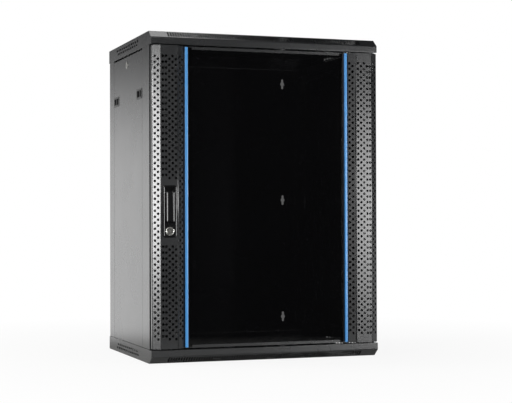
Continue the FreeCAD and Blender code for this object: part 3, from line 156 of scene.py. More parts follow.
def extruded_pvc():
    """Extruded PVC, blue: die lines 0.5 mm apart; the sides are painted darker towards the foot
    as painted shade.
    """
    material, tree, place = new_material("extruded_pvc_blue")
    # the lines are drawn out along the strip's height
    drawn_out = add(tree, "ShaderNodeMapping", {"Scale": (1, 1, 1 / 250)}, place)
    lines = add(tree, NOISE, {"Scale": per_mm(0.5)}, {"Vector": drawn_out})
    broad = add(tree, NOISE, {"Scale": per_mm(60)}, place)
    face = add(tree, MIX, {"Color1": srgb("#377fbb"), "Color2": srgb("#3f87c5")},
               {"Fac": broad})
    # painted shade: the strip's sides are painted dark blue towards the foot, standing for the
    # shade on them
    depth = add(tree, "ShaderNodeSeparateXYZ", links=place).outputs["Y"]
    painted_shade_towards_foot = add(tree, RANGE, {"From Min": FRONT_FACE + STRIP_PAINTED_SHADE[0] * MM,
                                     "From Max": FRONT_FACE + STRIP_PAINTED_SHADE[1] * MM},
                       {"Value": depth})
    colour = add(tree, MIX, {"Color2": srgb("#0c3a66")}, {"Fac": painted_shade_towards_foot, "Color1": face})
    gloss = add(tree, RANGE, NOISE_SPAN | {"To Min": 0.26, "To Max": 0.34}, {"Value": lines})
    relief = add(tree, BUMP, {"Strength": 0.3, "Distance": 0.02 * MM}, {"Height": lines})
    finish_surface(tree, {"Metallic": 0, "IOR": 1.53},
                   {"Base Color": colour, "Roughness": gloss, "Normal": relief})
    return material


def smoked_float_glass():
    """Smoked float glass, toughened: each face mirrors a little and stops 70 % of the light."""
    material, tree, place = new_material("smoked_float_glass")
    waves = add(tree, NOISE, {"Scale": per_mm(260), "Detail": 0}, place)
    gloss = add(tree, RANGE, NOISE_SPAN | {"To Min": 0.02, "To Max": 0.035}, {"Value": waves})
    relief = add(tree, BUMP, {"Strength": 0.1, "Distance": 0.05 * MM}, {"Height": waves})
    finish_surface(tree, {"Metallic": 0, "IOR": 1.5, "Base Color": srgb("#040405"),
                          "Alpha": 0.7}, {"Roughness": gloss, "Normal": relief})
    return material


def nickel_plated_brass():
    """Nickel plate on polished brass: bright, with a faint ripple 0.6 mm across."""
    material, tree, place = new_material("nickel_plated_brass")
    fine = add(tree, NOISE, {"Scale": per_mm(0.6)}, place)
    broad = add(tree, NOISE, {"Scale": per_mm(9)}, place)
    colour = add(tree, MIX, {"Color1": srgb("#aeada8"), "Color2": srgb("#c4c3be")},
                 {"Fac": broad})
    gloss = add(tree, RANGE, NOISE_SPAN | {"To Min": 0.2, "To Max": 0.26}, {"Value": fine})
    relief = add(tree, BUMP, {"Strength": 0.1, "Distance": 0.005 * MM}, {"Height": fine})
    finish_surface(tree, {"Metallic": 1},
                   {"Base Color": colour, "Roughness": gloss, "Normal": relief})
    return material


def zinc_plated_steel():
    """Clear-passivated zinc on pressed steel: grey, cloudy, slightly uneven in gloss."""
    material, tree, place = new_material("zinc_plated_steel")
    cloud = add(tree, NOISE, {"Scale": per_mm(6), "Detail": 4}, place)
    colour = add(tree, MIX, {"Color1": srgb("#8f9294"), "Color2": srgb("#b4b7b9")},
                 {"Fac": cloud})
    gloss = add(tree, RANGE, NOISE_SPAN | {"To Min": 0.3, "To Max": 0.45}, {"Value": cloud})
    relief = add(tree, BUMP, {"Strength": 0.2, "Distance": 0.02 * MM}, {"Height": cloud})
    finish_surface(tree, {"Metallic": 1},
                   {"Base Color": colour, "Roughness": gloss, "Normal": relief})
    return material


def closed_cell_foam():
    """Closed-cell foam tape: matt, with cells of about 0.4 mm, drawn 0.8 mm coarse to show."""
    material, tree, place = new_material("closed_cell_foam")
    cells = add(tree, CELLS, {"Scale": per_mm(0.8)}, place)
    colour = add(tree, MIX, {"Color1": srgb("#0c0c0c"), "Color2": srgb("#1a1a1b")},
                 {"Fac": cells})
    gloss = add(tree, RANGE, NOISE_SPAN | {"To Min": 0.75, "To Max": 0.9}, {"Value": cells})
    relief = add(tree, BUMP, {"Strength": 0.5, "Distance": 0.1 * MM}, {"Height": cells})
    finish_surface(tree, {"Metallic": 0, "IOR": 1.5},
                   {"Base Color": colour, "Roughness": gloss, "Normal": relief})
    return material


FINISHES = {
    "black_powder_coat": powder_coated_steel(),
    "blue_strip": extruded_pvc(),
    "tinted_glass": smoked_float_glass(),
    "foam_tape": closed_cell_foam(),
    "handle_plastic": moulded_abs("moulded_abs_handle", "#0b0b0c", "#101011", 0.16),
    "latch_plastic": moulded_abs("moulded_abs_latch", "#131415", "#18191a", 0.42),
    "lock_nickel": nickel_plated_brass(),
    "zinc_steel": zinc_plated_steel(),
}


# ---- outlines ------------------------------------------------------------------------------

SLOT_END_STEPS = 4


def inside(point, loop):
    """Whether a point lies in a closed loop of points."""
    x, y = point
    crossings = 0
    for (x1, y1), (x2, y2) in zip(loop, loop[1:] + loop[:1]):
        if (y1 > y) != (y2 > y) and x < x1 + (y - y1) * (x2 - x1) / (y2 - y1):
            crossings += 1
    return crossings % 2 == 1


def rounded(line, radius, segments=3, closed=False):
    """A line of points with its inner corners rounded."""
    count = len(line)
    result = []
    for i, here in enumerate(line):
        if not closed and i in (0, count - 1):
            result.append(here)
            continue
        corner = Vector(here)
        before, after = Vector(line[i - 1]), Vector(line[(i + 1) % count])
        to_before, to_after = (before - corner).normalized(), (after - corner).normalized()
        half = to_before.angle(to_after) / 2
        reach = radius / math.tan(half)
        centre = corner + (to_before + to_after).normalized() * (radius / math.sin(half))
        start = corner + to_before * reach - centre
        sweep = start.angle_signed(corner + to_after * reach - centre)
        for step in range(segments + 1):
            turn = Matrix.Rotation(-sweep * step / segments, 2)
            result.append(tuple(centre + turn @ start))
    return result


def ring(x, y, radius, sides=12, turn=0.0):
    """A round hole."""
    return [(x + radius * math.cos(2 * math.pi * i / sides + turn),
             y + radius * math.sin(2 * math.pi * i / sides + turn)) for i in range(sides)]


def slot_outline(x, y, length, width, upright=True):
    """A slot with rounded ends."""
    straight = (length - width) / 2
    points = []
    for end in (1, -1):
        for i in range(SLOT_END_STEPS + 1):
            angle = math.pi * i / SLOT_END_STEPS + (0 if end > 0 else math.pi)
            across = math.cos(angle) * width / 2
            along = math.sin(angle) * width / 2 + end * straight
            points.append((x + across, y + along) if upright else (x + along, y + across))
    return points


def block_outline(x, y, width, height):
    """A rectangle about its middle."""
    return [(x - width / 2, y - height / 2), (x + width / 2, y - height / 2),
            (x + width / 2, y + height / 2), (x - width / 2, y + height / 2)]


# ---- pieces --------------------------------------------------------------------------------

JOIN_DISTANCE = 0.02 * MM
# a strip's face that is narrower than this is part of a bend, and smooth
BEND_STEP = 2 * MM
SHARP_CORNER = math.radians(40)
# the kind of triangulation that keeps only what lies inside the outline
CDT_INSIDE, CDT_TOLERANCE = 1, 1e-5


def into_scene(name, data):
    """A new object with that data, in the scene."""
    new_object = bpy.data.objects.new(name, data)
    bpy.context.scene.collection.objects.link(new_object)
    return new_object


def mesh_object(name, mesh):
    """A drawn mesh as an object in the scene."""
    data = bpy.data.meshes.new(name)
    mesh.to_mesh(data)
    mesh.free()
    return into_scene(name, data)


def dress(piece, body, slot_name, *stood_for):
    """Gives a piece its finish, the body that it moves with and the nodes it stands for."""
    piece.data.materials.append(FINISHES[slot_name])
    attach(piece, body)
    if stood_for:
        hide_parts(*stood_for)


class Sheet:
    """One sheet of steel: flat panels and bends, joined where they meet and then thickened."""

    def __init__(self):
        self.mesh = bmesh.new()

    def face(self, corners, outward, smooth=False):
        """One face, turned to look outward; a rough direction is enough."""
        a, b, c = (corner.co for corner in corners[:3])
        if (b - a).cross(c - a).dot(outward) < 0:
            corners = corners[::-1]
        self.mesh.faces.new(corners).smooth = smooth

    def panel(self, outline, place, outward, holes=()):
        """A flat panel; outline and holes are points that place turns into a point in space."""
        loops = [list(outline)] + [list(hole) for hole in holes]
        points, edges, owner = [], [], []
        for number, loop in enumerate(loops):
            first = len(points)
            points += [Vector(point) for point in loop]
            owner += [number] * len(loop)
            edges += [(first + i, first + (i + 1) % len(loop)) for i in range(len(loop))]
        found, _, triples, _, _, _ = delaunay_2d_cdt(points, edges, [], CDT_INSIDE,
                                                     CDT_TOLERANCE)
        corners = [self.mesh.verts.new(place(*point)) for point in found]
        for triple in triples:
            # only a triangle with its three corners on one hole can lie in that hole
            met = {owner[i] for i in triple}
            hole = met.pop() if len(met) == 1 else 0
            middle = sum((found[i] for i in triple), Vector((0, 0))) / 3
            if hole == 0 or not inside(middle, loops[hole]):
                self.face([corners[i] for i in triple], outward)

    def strip(self, line, ends, outward):
        """Runs a line of points from one end to the other; its narrow faces are a bend."""
        rows = [[self.mesh.verts.new(end(*point)) for point in line] for end in ends]
        for (a, b), (d, c) in zip(zip(rows[0], rows[0][1:]), zip(rows[1], rows[1][1:])):
            middle = (a.co + b.co + c.co + d.co) / 4
            self.face([a, b, c, d], outward(middle), smooth=(b.co - a.co).length < BEND_STEP)

    def join(self):
        """Makes one point of the points where panels and bends meet."""
        bmesh.ops.remove_doubles(self.mesh, verts=self.mesh.verts, dist=JOIN_DISTANCE)

    def round_ends(self, radius):
        """Rounds the edges between the two end faces and the panels that meet them."""
        self.join()
        self.mesh.normal_update()
        ends = [edge for edge in self.mesh.edges if len(edge.link_faces) == 2
                and sorted(abs(face.normal.x) > 0.99 for face in edge.link_faces) == [0, 1]]
        made = bmesh.ops.bevel(self.mesh, geom=ends, offset=radius * MM, segments=3,
                               profile=0.5, affect="EDGES", clamp_overlap=True)
        for face in made["faces"]:
            face.smooth = True

    def finish(self, name, thickness, body, stood_for, turn=None):
        """Joins the sheet, turns it over if asked, and thickens it inwards."""
        self.join()
        if turn:
            bmesh.ops.transform(self.mesh, matrix=turn, verts=self.mesh.verts)
        piece = mesh_object(name, self.mesh)
        thick = piece.modifiers.new("thickness", "SOLIDIFY")
        thick.thickness = thickness * MM
        thick.offset = -1
        thick.use_even_offset = True
        dress(piece, body, "black_powder_coat", stood_for)


def loft(name, loops, body, slot_name, *stood_for, caps=False):
    """A skin over a row of closed loops, smooth but for its sharp corners."""
    mesh = bmesh.new()
    rows = [[mesh.verts.new(point) for point in loop] for loop in loops]
    for near, far in zip(rows, rows[1:]):
        for i, corner in enumerate(near):
            mesh.faces.new((near[i - 1], corner, far[i], far[i - 1])).smooth = True
    if caps:
        for row in (rows[0], rows[-1]):
            mesh.faces.new(row)
    bmesh.ops.remove_doubles(mesh, verts=mesh.verts, dist=JOIN_DISTANCE / 2)
    bmesh.ops.recalc_face_normals(mesh, faces=mesh.faces)
    piece = mesh_object(name, mesh)
    piece.data.set_sharp_from_angle(angle=SHARP_CORNER)
    dress(piece, body, slot_name, *stood_for)


# ---- covers --------------------------------------------------------------------------------

COVER = {"height": 34, "lip": 17, "slope": 21.5, "sheet": 1.2, "bend": 4, "edge": 1.5,
         "end_corner": 2.4, "lip_return": 20, "side_return": 12, "return_start": 110,
         "return_end": 379, "rear_flange_half": 262}
SLOPE_SLOT = {"pitch": 6.5, "count": 79, "length": 22, "width": 4.0}
SIDE_SLOT = {"start": 134, "pitch": 20, "count": 12, "length": 13, "height": 5.5, "low": 11.5,
             "row": 9}
ENTRY = {"middle": 355, "width": 300, "depth": 70, "corner": 4, "screw": 4.4, "screw_gap": 7}
FAN = {"spacing": 240, "depth": 205, "rings": (18, 36), "slot": 9, "spoke": 8, "steps": 8}
HINGE = {"edge": 9, "depth": 4.5, "hole": 5.2}


def slope_slots(middle):
    """A row of upright slots along the sloped front."""
    first = -SLOPE_SLOT["pitch"] * (SLOPE_SLOT["count"] - 1) / 2
    return [slot_outline(first + i * SLOPE_SLOT["pitch"], middle, SLOPE_SLOT["length"],
                         SLOPE_SLOT["width"]) for i in range(SLOPE_SLOT["count"])]


def side_slots():
    """Two staggered rows of level slots; the upper row has one slot fewer."""
    return [slot_outline(SIDE_SLOT["start"] + (i + row / 2) * SIDE_SLOT["pitch"],
                         SIDE_SLOT["low"] + row * SIDE_SLOT["row"],
                         SIDE_SLOT["length"], SIDE_SLOT["height"], upright=False)
            for row in (0, 1) for i in range(SIDE_SLOT["count"] - row)]


def fan_slots(x):
    """Quarter rings that four spokes part."""
    outlines = []
    for inner in FAN["rings"]:
        for quarter in range(4):
            arc = []
            for radius, order in ((inner, 1), (inner + FAN["slot"], -1)):
                start = math.asin(FAN["spoke"] / 2 / radius)
                step = (math.pi / 2 - 2 * start) / FAN["steps"]
                angles = [start + step * i for i in range(FAN["steps"] + 1)][::order]
                arc += [(x + radius * math.cos(a + quarter * math.pi / 2),
                         FAN["depth"] + radius * math.sin(a + quarter * math.pi / 2))
                        for a in angles]
            outlines.append(arc)
    return outlines


def bottom_holes(fans):
    """The cable entry, the screws of its plate and, where asked, the slots of two fans."""
    holes = [rounded(block_outline(0, ENTRY["middle"], ENTRY["width"], ENTRY["depth"]),
                     ENTRY["corner"], closed=True)]
    holes += [ring(side * (ENTRY["width"] / 2 + ENTRY["screw_gap"]),
                   ENTRY["middle"] + end * ENTRY["depth"] / 4, ENTRY["screw"] / 2, 10)
              for side in (-1, 1) for end in (-1, 1)]
    if fans:
        for side in (-1, 1):
            holes += fan_slots(side * FAN["spacing"] / 2)
    return holes


def cover_sheet(name, node, fans=False, turn=None):
    """A folded tray, open upwards, with its slots; the top one is the same turned over."""
    sheet = Sheet()
    width, top, lip = HALF_WIDTH, COVER["height"], COVER["height"] - COVER["lip"]
    rear_end = (DEPTH - COVER["side_return"], top)
    front_edge = rounded([(COVER["lip_return"], top), (0, top), (0, lip)], COVER["edge"])[1:-1]
    lip_bend = rounded([(0, top), (0, lip), (COVER["slope"], 0)], COVER["bend"])[1:-1]
    slope_bend = rounded([(0, lip), (COVER["slope"], 0), (DEPTH, 0)], COVER["bend"])[1:-1]
    rear_low = rounded([(COVER["slope"], 0), (DEPTH, 0), (DEPTH, top)], COVER["edge"])[1:-1]
    rear_high = rounded([(DEPTH, 0), (DEPTH, top), rear_end], COVER["edge"])[1:-1]
    centre = at(0, DEPTH / 2, top / 2)

    def across(x):
        return lambda v, z: at(x, v, z)

    def away(point):
        # the tray is far deeper than it is high, so its height counts for more
        return (point - centre) * Vector((0, 1, 20))

    ends = (across(-width), across(width))
    for line in (front_edge + lip_bend, slope_bend, rear_low + rear_high[:1], rear_high):
        sheet.strip(line, ends, away)

    slope_start, slope_end = lip_bend[-1], slope_bend[0]
    length = math.dist(slope_start, slope_end)

    def on_slope(x, distance):
        share = distance / length
        return at(x, slope_start[0] + (slope_end[0] - slope_start[0]) * share,
                  slope_start[1] + (slope_end[1] - slope_start[1]) * share)

    sheet.panel([(-width, 0), (width, 0), (width, length), (-width, length)], on_slope,
                Vector((0, -1, -1)), slope_slots(length / 2))

    near, far = slope_bend[-1][0], rear_low[0][0]
    sheet.panel([(-width, near), (width, near), (width, far), (-width, far)],
                lambda x, v: at(x, v, 0), Vector((0, 0, -1)), bottom_holes(fans))

    pins = [ring(side * (width - HINGE["edge"]), HINGE["depth"], HINGE["hole"] / 2)
            for side in (-1, 1)]
    near, far = front_edge[0][0], COVER["lip_return"]
    sheet.panel([(-width, near), (width, near), (width, far), (-width, far)],
                lambda x, v: at(x, v, top), Vector((0, 0, 1)), pins)
    sheet.strip([rear_high[-1], rear_end],
                [across(-COVER["rear_flange_half"]), across(COVER["rear_flange_half"])],
                lambda point: Vector((0, 0, 1)))

    outline = front_edge + lip_bend + slope_bend + rear_low + rear_high
    outline += [(COVER["return_end"], top), (COVER["return_start"], top)]
    inner = width - COVER["side_return"]
    for side in (-1, 1):
        sheet.panel(outline, across(side * width), Vector((side, 0, 0)), side_slots())
        sheet.panel([(width, COVER["return_start"]), (width, COVER["return_end"]),
                     (inner, COVER["return_end"]), (inner, COVER["return_start"])],
                    lambda x, v: at(side * x, v, top), Vector((0, 0, 1)))
    sheet.round_ends(COVER["end_corner"])
    sheet.finish(name, COVER["sheet"], "cabinet", node, turn)


TURNED_OVER = Matrix.Translation((0, 0, HEIGHT * MM)) @ Matrix.Rotation(math.pi, 4, "Y")
cover_sheet("base_cover_sheet", "base_cover")
cover_sheet("top_cover_sheet", "top_cover", fans=True, turn=TURNED_OVER)


# ---- door stiles ---------------------------------------------------------------------------

# the radii are those of the bends, from the back flange to the glass ledge, and the hollow
# is a point between the stile's faces
STILE = {"half": 298, "crown": -12.5, "outer": 279.3, "inner": 235.6, "foot": 216.5,
         "foot_v": 0.5, "ledge_v": 2.5, "ledge": 205, "depth": 14, "flange": 12, "sheet": 1.2,
         "radii": (3, 3, 3, 5.4, 0.5, 0.5), "bend_steps": 5, "hollow": (256, 11)}
HOLE = {"size": 6.8, "pitch": 14.5, "low": 61.6, "rows": 48, "column": 8.2, "half_step": 7.2,
        "first": {"left": 5.2, "right": 6.4}}
# which columns of the left stile stand half a step higher, from the glass outwards
FLAT_PHASES, OUTER_PHASES, INNER_PHASES = (0, 1, 0, 1, 1), (0, 1), (0, 1)
HANDLE_ZONE = (290, 450)
WINDOW = {"x": 257, "low": 310.7, "high": 432.3, "width": 31.6}
door_low, door_high = (corner.z for corner in box_mm("door_stile_left"))


def perforations(columns, raised, around_handle=False):
    """Columns of round holes; raised columns stand higher, and the handle's zone stays whole."""
    holes = []
    for x, up in zip(columns, raised):
        for row in range(HOLE["rows"]):
            z = HOLE["low"] + row * HOLE["pitch"] + up * HOLE["half_step"]
            if not (around_handle and HANDLE_ZONE[0] < z < HANDLE_ZONE[1]):
                holes.append(ring(x, z, HOLE["size"] / 2, turn=math.pi / 12))
    return holes


def stile_sheet(side_name, side):
    """A folded and perforated stile: back flange, side, slope, flat, slope and glass ledge."""
    sheet = Sheet()
    corners = [(STILE["half"] - STILE["flange"], STILE["depth"]),
               (STILE["half"], STILE["depth"]), (STILE["half"], 0),
               (STILE["outer"], STILE["crown"]), (STILE["inner"], STILE["crown"]),
               (STILE["foot"], STILE["foot_v"]), (STILE["foot"], STILE["ledge_v"]),
               (STILE["ledge"], STILE["ledge_v"])]
    back, edge, outer, inner, foot, ledge = (
        rounded(corners[i:i + 3], radius, STILE["bend_steps"])[1:-1]
        for i, radius in enumerate(STILE["radii"]))
    hollow = at(side * STILE["hollow"][0], STILE["hollow"][1], 0)

    def level(z):
        return lambda x, v: at(side * x, v, z)

    def away(point):
        return Vector((point.x - hollow.x, point.y - hollow.y, 0))

    ends = (level(door_low), level(door_high))
    for line in ([corners[0]] + back + edge, outer, inner):
        sheet.strip(line, ends, away)
    sheet.strip(foot + ledge[:1], ends, lambda point: Vector((-side, -0.6, 0)))
    sheet.strip(ledge + [corners[-1]], ends, lambda point: Vector((-side * 0.05, -1, 0)))

    # the right stile is the left one turned upside down, so its phases are the opposite
    left = side_name == "left"

    def raised(phases):
        return [phase if left else 1 - phase for phase in phases]

    def facet(start, end, holes, outward):
        run = math.dist(start, end)

        def place(distance, z):
            share = distance / run
            return at(side * (start[0] + (end[0] - start[0]) * share),
                      start[1] + (end[1] - start[1]) * share, z)
        sheet.panel([(0, door_low), (run, door_low), (run, door_high), (0, door_high)], place,
                    outward, holes)

    def slope(start, end, phases, outward):
        middle, half = math.dist(start, end) / 2, HOLE["column"] / 2
        facet(start, end, perforations((middle + half, middle - half), raised(phases)), outward)

    slope(edge[-1], outer[0], OUTER_PHASES, Vector((side * 0.5, -1, 0)))
    slope(inner[-1], foot[0], INNER_PHASES, Vector((-side * 0.5, -1, 0)))
    flat_start = outer[-1][0]
    first = flat_start - STILE["inner"] - HOLE["first"][side_name]
    columns = [first - i * HOLE["column"] for i in range(len(FLAT_PHASES))]
    holes = perforations(columns, raised(FLAT_PHASES), around_handle=left)
    if left:
        holes.append(block_outline(flat_start - WINDOW["x"],
                                   (WINDOW["low"] + WINDOW["high"]) / 2, WINDOW["width"],
                                   WINDOW["high"] - WINDOW["low"]))
    facet(outer[-1], inner[0], holes, Vector((0, -1, 0)))

    section = back[-1:] + edge + outer + inner + foot + [(STILE["foot"], STILE["depth"])]
    for z, up in ((door_low, -1), (door_high, 1)):
        sheet.panel(section, level(z), Vector((0, 0, up)))
    sheet.finish(f"stile_sheet_{side_name}", STILE["sheet"], "door", f"door_stile_{side_name}")


for side_name, side in SIDES:
    stile_sheet(side_name, side)


# ---- rear panel and blue strips ------------------------------------------------------------

REAR_PANEL = {"sheet": 1.5, "cover_gap": 0.1, "side_gap": 0.3}
REAR_SCREW = {"inset": 18, "step": 226, "hole": 4.4}
WALL_SLOT = {"spacing": 412, "step": 332.5, "length": 28, "width": 6.6, "circle": 12,
             "arc_steps": 6}
STRIP = {"width": 7.2, "gap": 1.1, "front": -4.5, "crown": 0.8, "steps": 8}


def double_keyhole(x, z):
    """A slot with rounded ends that widens to a circle in its middle."""
    half_width, radius = WALL_SLOT["width"] / 2, WALL_SLOT["circle"] / 2
    straight = WALL_SLOT["length"] / 2 - half_width
    meet = math.acos(half_width / radius)
    shares = [i / WALL_SLOT["arc_steps"] for i in range(WALL_SLOT["arc_steps"] + 1)]
    points = []
    for turn in (0, math.pi):
        right = [(radius * math.cos(a), radius * math.sin(a))
                 for a in (meet * (2 * share - 1) for share in shares)]
        end = [(half_width * math.cos(a), straight + half_width * math.sin(a))
               for a in (math.pi * share for share in shares)]
        for px, pz in right + end:
            points.append((x + px * math.cos(turn) - pz * math.sin(turn),
                           z + px * math.sin(turn) + pz * math.cos(turn)))
    return points


def rear_panel_sheet():
    """Flat sheet between the rear flanges of the two covers, with the wall slots."""
    low_corner, high_corner = box_mm("rear_panel")
    left, right, depth = low_corner.x, high_corner.x, low_corner.y
    low = COVER["height"] + REAR_PANEL["cover_gap"]
    high = HEIGHT - low
    middle = HEIGHT / 2
    holes = [double_keyhole(side * WALL_SLOT["spacing"] / 2, middle + row * WALL_SLOT["step"])
             for side in (-1, 1) for row in (-1, 0, 1)]
    screw_x = HALF_WIDTH - COVER["sheet"] - REAR_PANEL["side_gap"] - REAR_SCREW["inset"]
    holes += [ring(side * screw_x, middle + half_steps * REAR_SCREW["step"] / 2,
                   REAR_SCREW["hole"] / 2) for side in (-1, 1) for half_steps in (-3, -1, 1, 3)]
    sheet = Sheet()
    sheet.panel([(left, low), (right, low), (right, high), (left, high)],
                lambda x, z: at(x, depth, z), Vector((0, -1, 0)), holes)
    sheet.finish("rear_panel_sheet", REAR_PANEL["sheet"], "cabinet", "rear_panel")


def blue_strip(side_name, side):
    """A bar of PVC that stands up beside the glass, with a softly crowned face."""
    low_corner, high_corner = box_mm(f"accent_strip_{side_name}")
    outer = max(abs(low_corner.x), abs(high_corner.x)) - STRIP["gap"]
    back = high_corner.y
    section = [(outer, back)]
    for i in range(STRIP["steps"] + 1):
        share = i / STRIP["steps"]
        section.append((outer - share * STRIP["width"],
                        STRIP["front"] + STRIP["crown"] * (2 * share - 1) ** 4))
    section.append((outer - STRIP["width"], back))
    loft(f"blue_strip_{side_name}",
         [[at(side * x, v, z) for x, v in section] for z in (low_corner.z, high_corner.z)],
         "door", "blue_strip", f"accent_strip_{side_name}", caps=True)


rear_panel_sheet()
for side_name, side in SIDES:
    blue_strip(side_name, side)


# ---- handle and locks ----------------------------------------------------------------------

# the tip is the eased lower end, as depth behind the lever's front and height above its end;
# its last row and the row below the curl keep the long front evenly shaded
LEVER = {"eye": 6, "blade": 5, "edge_depth": 1.6, "ridge": 8.2, "half": 2.6, "radius": 5.2,
         "ridge_steps": 8, "hollow": 1.35, "hollow_rows": (5.5, 4),
         "tip": ((1.2, 0), (0.4, 0.3), (0, 1.2), (0, 2.4)), "below_curl": 1,
         "curl_step": 15, "curl_rows": 18}
BEAD = {"half": 1.9, "radius": 5, "steps": 8, "corner": 5, "corner_steps": 5}
# width and height of the rim are those of a lock with that radius
RIM = {"radius": 11, "width": 3.2, "height": 1.1, "steps": 8, "sides": 32}
SUNK = 0.1
bezel_low, bezel_high = box_mm("handle_bezel")
lever_low, lever_high = box_mm("handle_lever")
HANDLE_X = (bezel_low.x + bezel_high.x) / 2


def lever_profile():
    """Distance from the middle and depth of one long edge: a rounded ridge, then the hollow."""
    radius, half = LEVER["radius"], LEVER["half"]
    profile = [((lever_high.x - lever_low.x) / 2, LEVER["edge_depth"])]
    for i in range(LEVER["ridge_steps"] + 1):
        u = half * (1 - 2 * i / LEVER["ridge_steps"])
        profile.append((LEVER["ridge"] + u, radius - math.sqrt(radius ** 2 - u ** 2)))
    return profile + [(x, LEVER["hollow"]) for x in LEVER["hollow_rows"]]


def lever_shell():
    """The pull: a blade with a rounded ridge along each long edge, curled over its pin."""
    front, low, eye = lever_low.y, lever_low.z, LEVER["eye"]
    back = front + LEVER["blade"]
    pin_v, pin_z = front + eye, lever_high.z - eye
    curl = [(pin_v - eye * math.cos(a), pin_z + eye * math.sin(a))
            for a in (math.radians(LEVER["curl_step"] * i) for i in range(LEVER["curl_rows"]))]
    curl = [point for point in curl if point[1] > pin_z or point[0] > back]
    path = [(back, low)] + [(front + depth, low + height) for depth, height in LEVER["tip"]]
    path += [(front, pin_z - LEVER["below_curl"])] + curl + [(back, curl[-1][1])]
    profile = lever_profile()
    loops = []
    for x, depth in profile + [(-x, depth) for x, depth in profile[::-1]]:
        loop = []
        for i, (v, z) in enumerate(path):
            (v0, z0), (v1, z1) = path[i - 1], path[(i + 1) % len(path)]
            inward = Vector((z1 - z0, v0 - v1)).normalized()
            sunk = 0 if i in (0, len(path) - 1) else depth
            loop.append(at(HANDLE_X + x, v + inward.x * sunk, z + inward.y * sunk))
        loops.append(loop)
    loft("lever_shell", loops, "lever", "handle_plastic", "handle_lever", caps=True)


def bezel_bead():
    """A rounded bead that runs round the edge of the bezel."""
    middle_z = (bezel_low.z + bezel_high.z) / 2
    width, height = bezel_high.x - bezel_low.x, bezel_high.z - bezel_low.z
    foot = math.sqrt(BEAD["radius"] ** 2 - BEAD["half"] ** 2)
    loops = []
    for i in range(BEAD["steps"] + 1):
        u = BEAD["half"] * (2 * i / BEAD["steps"] - 1)
        inset = BEAD["half"] + u
        rise = math.sqrt(BEAD["radius"] ** 2 - u ** 2) - foot
        outline = rounded(block_outline(HANDLE_X, middle_z, width - 2 * inset,
                                        height - 2 * inset), BEAD["corner"] - inset,
                          BEAD["corner_steps"], closed=True)
        loops.append([at(x, bezel_low.y + SUNK - rise, z) for x, z in outline])
    loft("bezel_bead", loops + loops[:1], "door", "handle_plastic")


def lock_rim(name, node, place, body):
    """The rounded rim of a lock's face; place gives a point at a radius, angle and height."""
    low_corner, high_corner = box_mm(node)
    outer = (high_corner.z - low_corner.z) / 2
    scale = outer / RIM["radius"]
    loops = []
    for i in range(RIM["steps"] + 1):
        a = math.pi * i / RIM["steps"]
        radius = outer - RIM["width"] * scale * (1 - math.cos(a)) / 2
        height = RIM["height"] * scale ** 2 * math.sin(a) - SUNK
        loops.append([place(low_corner, high_corner, radius, 2 * math.pi * k / RIM["sides"],
                            height) for k in range(RIM["sides"])])
    loft(name, loops + loops[:1], body, "lock_nickel")


def on_front(low_corner, high_corner, radius, angle, height):
    """A point of the rim of a lock in the door."""
    middle = (low_corner + high_corner) / 2
    return at(middle.x + radius * math.cos(angle), low_corner.y - height,
              middle.z + radius * math.sin(angle))


def on_side(side):
    """The same for a lock in that side panel."""
    def place(low_corner, high_corner, radius, angle, height):
        middle = (low_corner + high_corner) / 2
        outside = high_corner.x if side > 0 else low_corner.x
        return at(outside + side * height, middle.y + radius * math.cos(angle),
                  middle.z + radius * math.sin(angle))
    return place


lever_shell()
bezel_bead()
lock_rim("door_lock_rim", "door_lock_plug", on_front, "door_lock")
for side_name, side in SIDES:
    lock_rim(f"side_lock_rim_{side_name}", f"side_lock_{side_name}_plug", on_side(side),
             f"lock_{side_name}")


# ---- pieces that stay as they are ----------------------------------------------------------

SOFT_EDGES = {"side_panel_left": 2.0, "side_panel_right": 2.0, "handle_bezel": 0.4,
              "door_lock_plug": 0.35, "side_lock_barrels": 0.35,
              "side_lock_left_plug": 0.3, "side_lock_right_plug": 0.3,
              "door_top_bar": 0.3, "door_bottom_bar": 0.3}
for latch_part in ("front_latch", "rear_latch", "front_slider", "rear_slider"):
    for side_name, _ in SIDES:
        SOFT_EDGES[f"{latch_part}_{side_name}"] = 0.35

for entry in frame["record"]["subparts"]:
    piece = frame["nodes"][entry["node"]]
    finish = FINISHES[entry["material_slot"]]
    if piece.material_slots:
        for material_slot in piece.material_slots:
            material_slot.material = finish
    else:
        piece.data.materials.append(finish)
    if entry["node"] in SOFT_EDGES:
        edge = piece.modifiers.new("soft_edge", "BEVEL")
        edge.width = SOFT_EDGES[entry["node"]] * MM
        edge.segments = 2
        edge.limit_method = "ANGLE"
        edge.angle_limit = SHARP_CORNER
        edge.harden_normals = True


# ---- room, lamps and camera ----------------------------------------------------------------

FLOOR = {"radius": 14, "drop": 0.3, "sides": 64}
CAMERA = {"x": -1132, "v": -3172, "z": 349, "turn": 19.15, "rise": 0.81, "roll": -0.169,
          "lens": 94.66, "sensor": 36}


def softbox(name, place, aim, width, height, radiance):
    """A flat lamp of that size in metres and that brightness, turned towards a point."""
    data = bpy.data.lights.new(name, "AREA")
    data.shape = "RECTANGLE"
    data.size, data.size_y = width, height
    data.energy = radiance * math.pi * width * height
    lamp = into_scene(name, data)
    lamp.location = place
    lamp.rotation_euler = (Vector(aim) - Vector(place)).to_track_quat("-Z", "Y").to_euler()


def around_front(turn, distance, height):
    """A place at that turn from straight ahead, seen from the middle of the front."""
    angle = math.radians(turn)
    return (distance * math.sin(angle), FRONT_FACE - distance * math.cos(angle), height)


def seen_directly(tree, rays):
    """1 for what the camera sees, also through the glass, and 0 for all other light."""
    return add(tree, MATHS, {"operation": "MAXIMUM"},
               {0: rays.outputs["Is Camera Ray"], 1: rays.outputs["Is Transmission Ray"]})


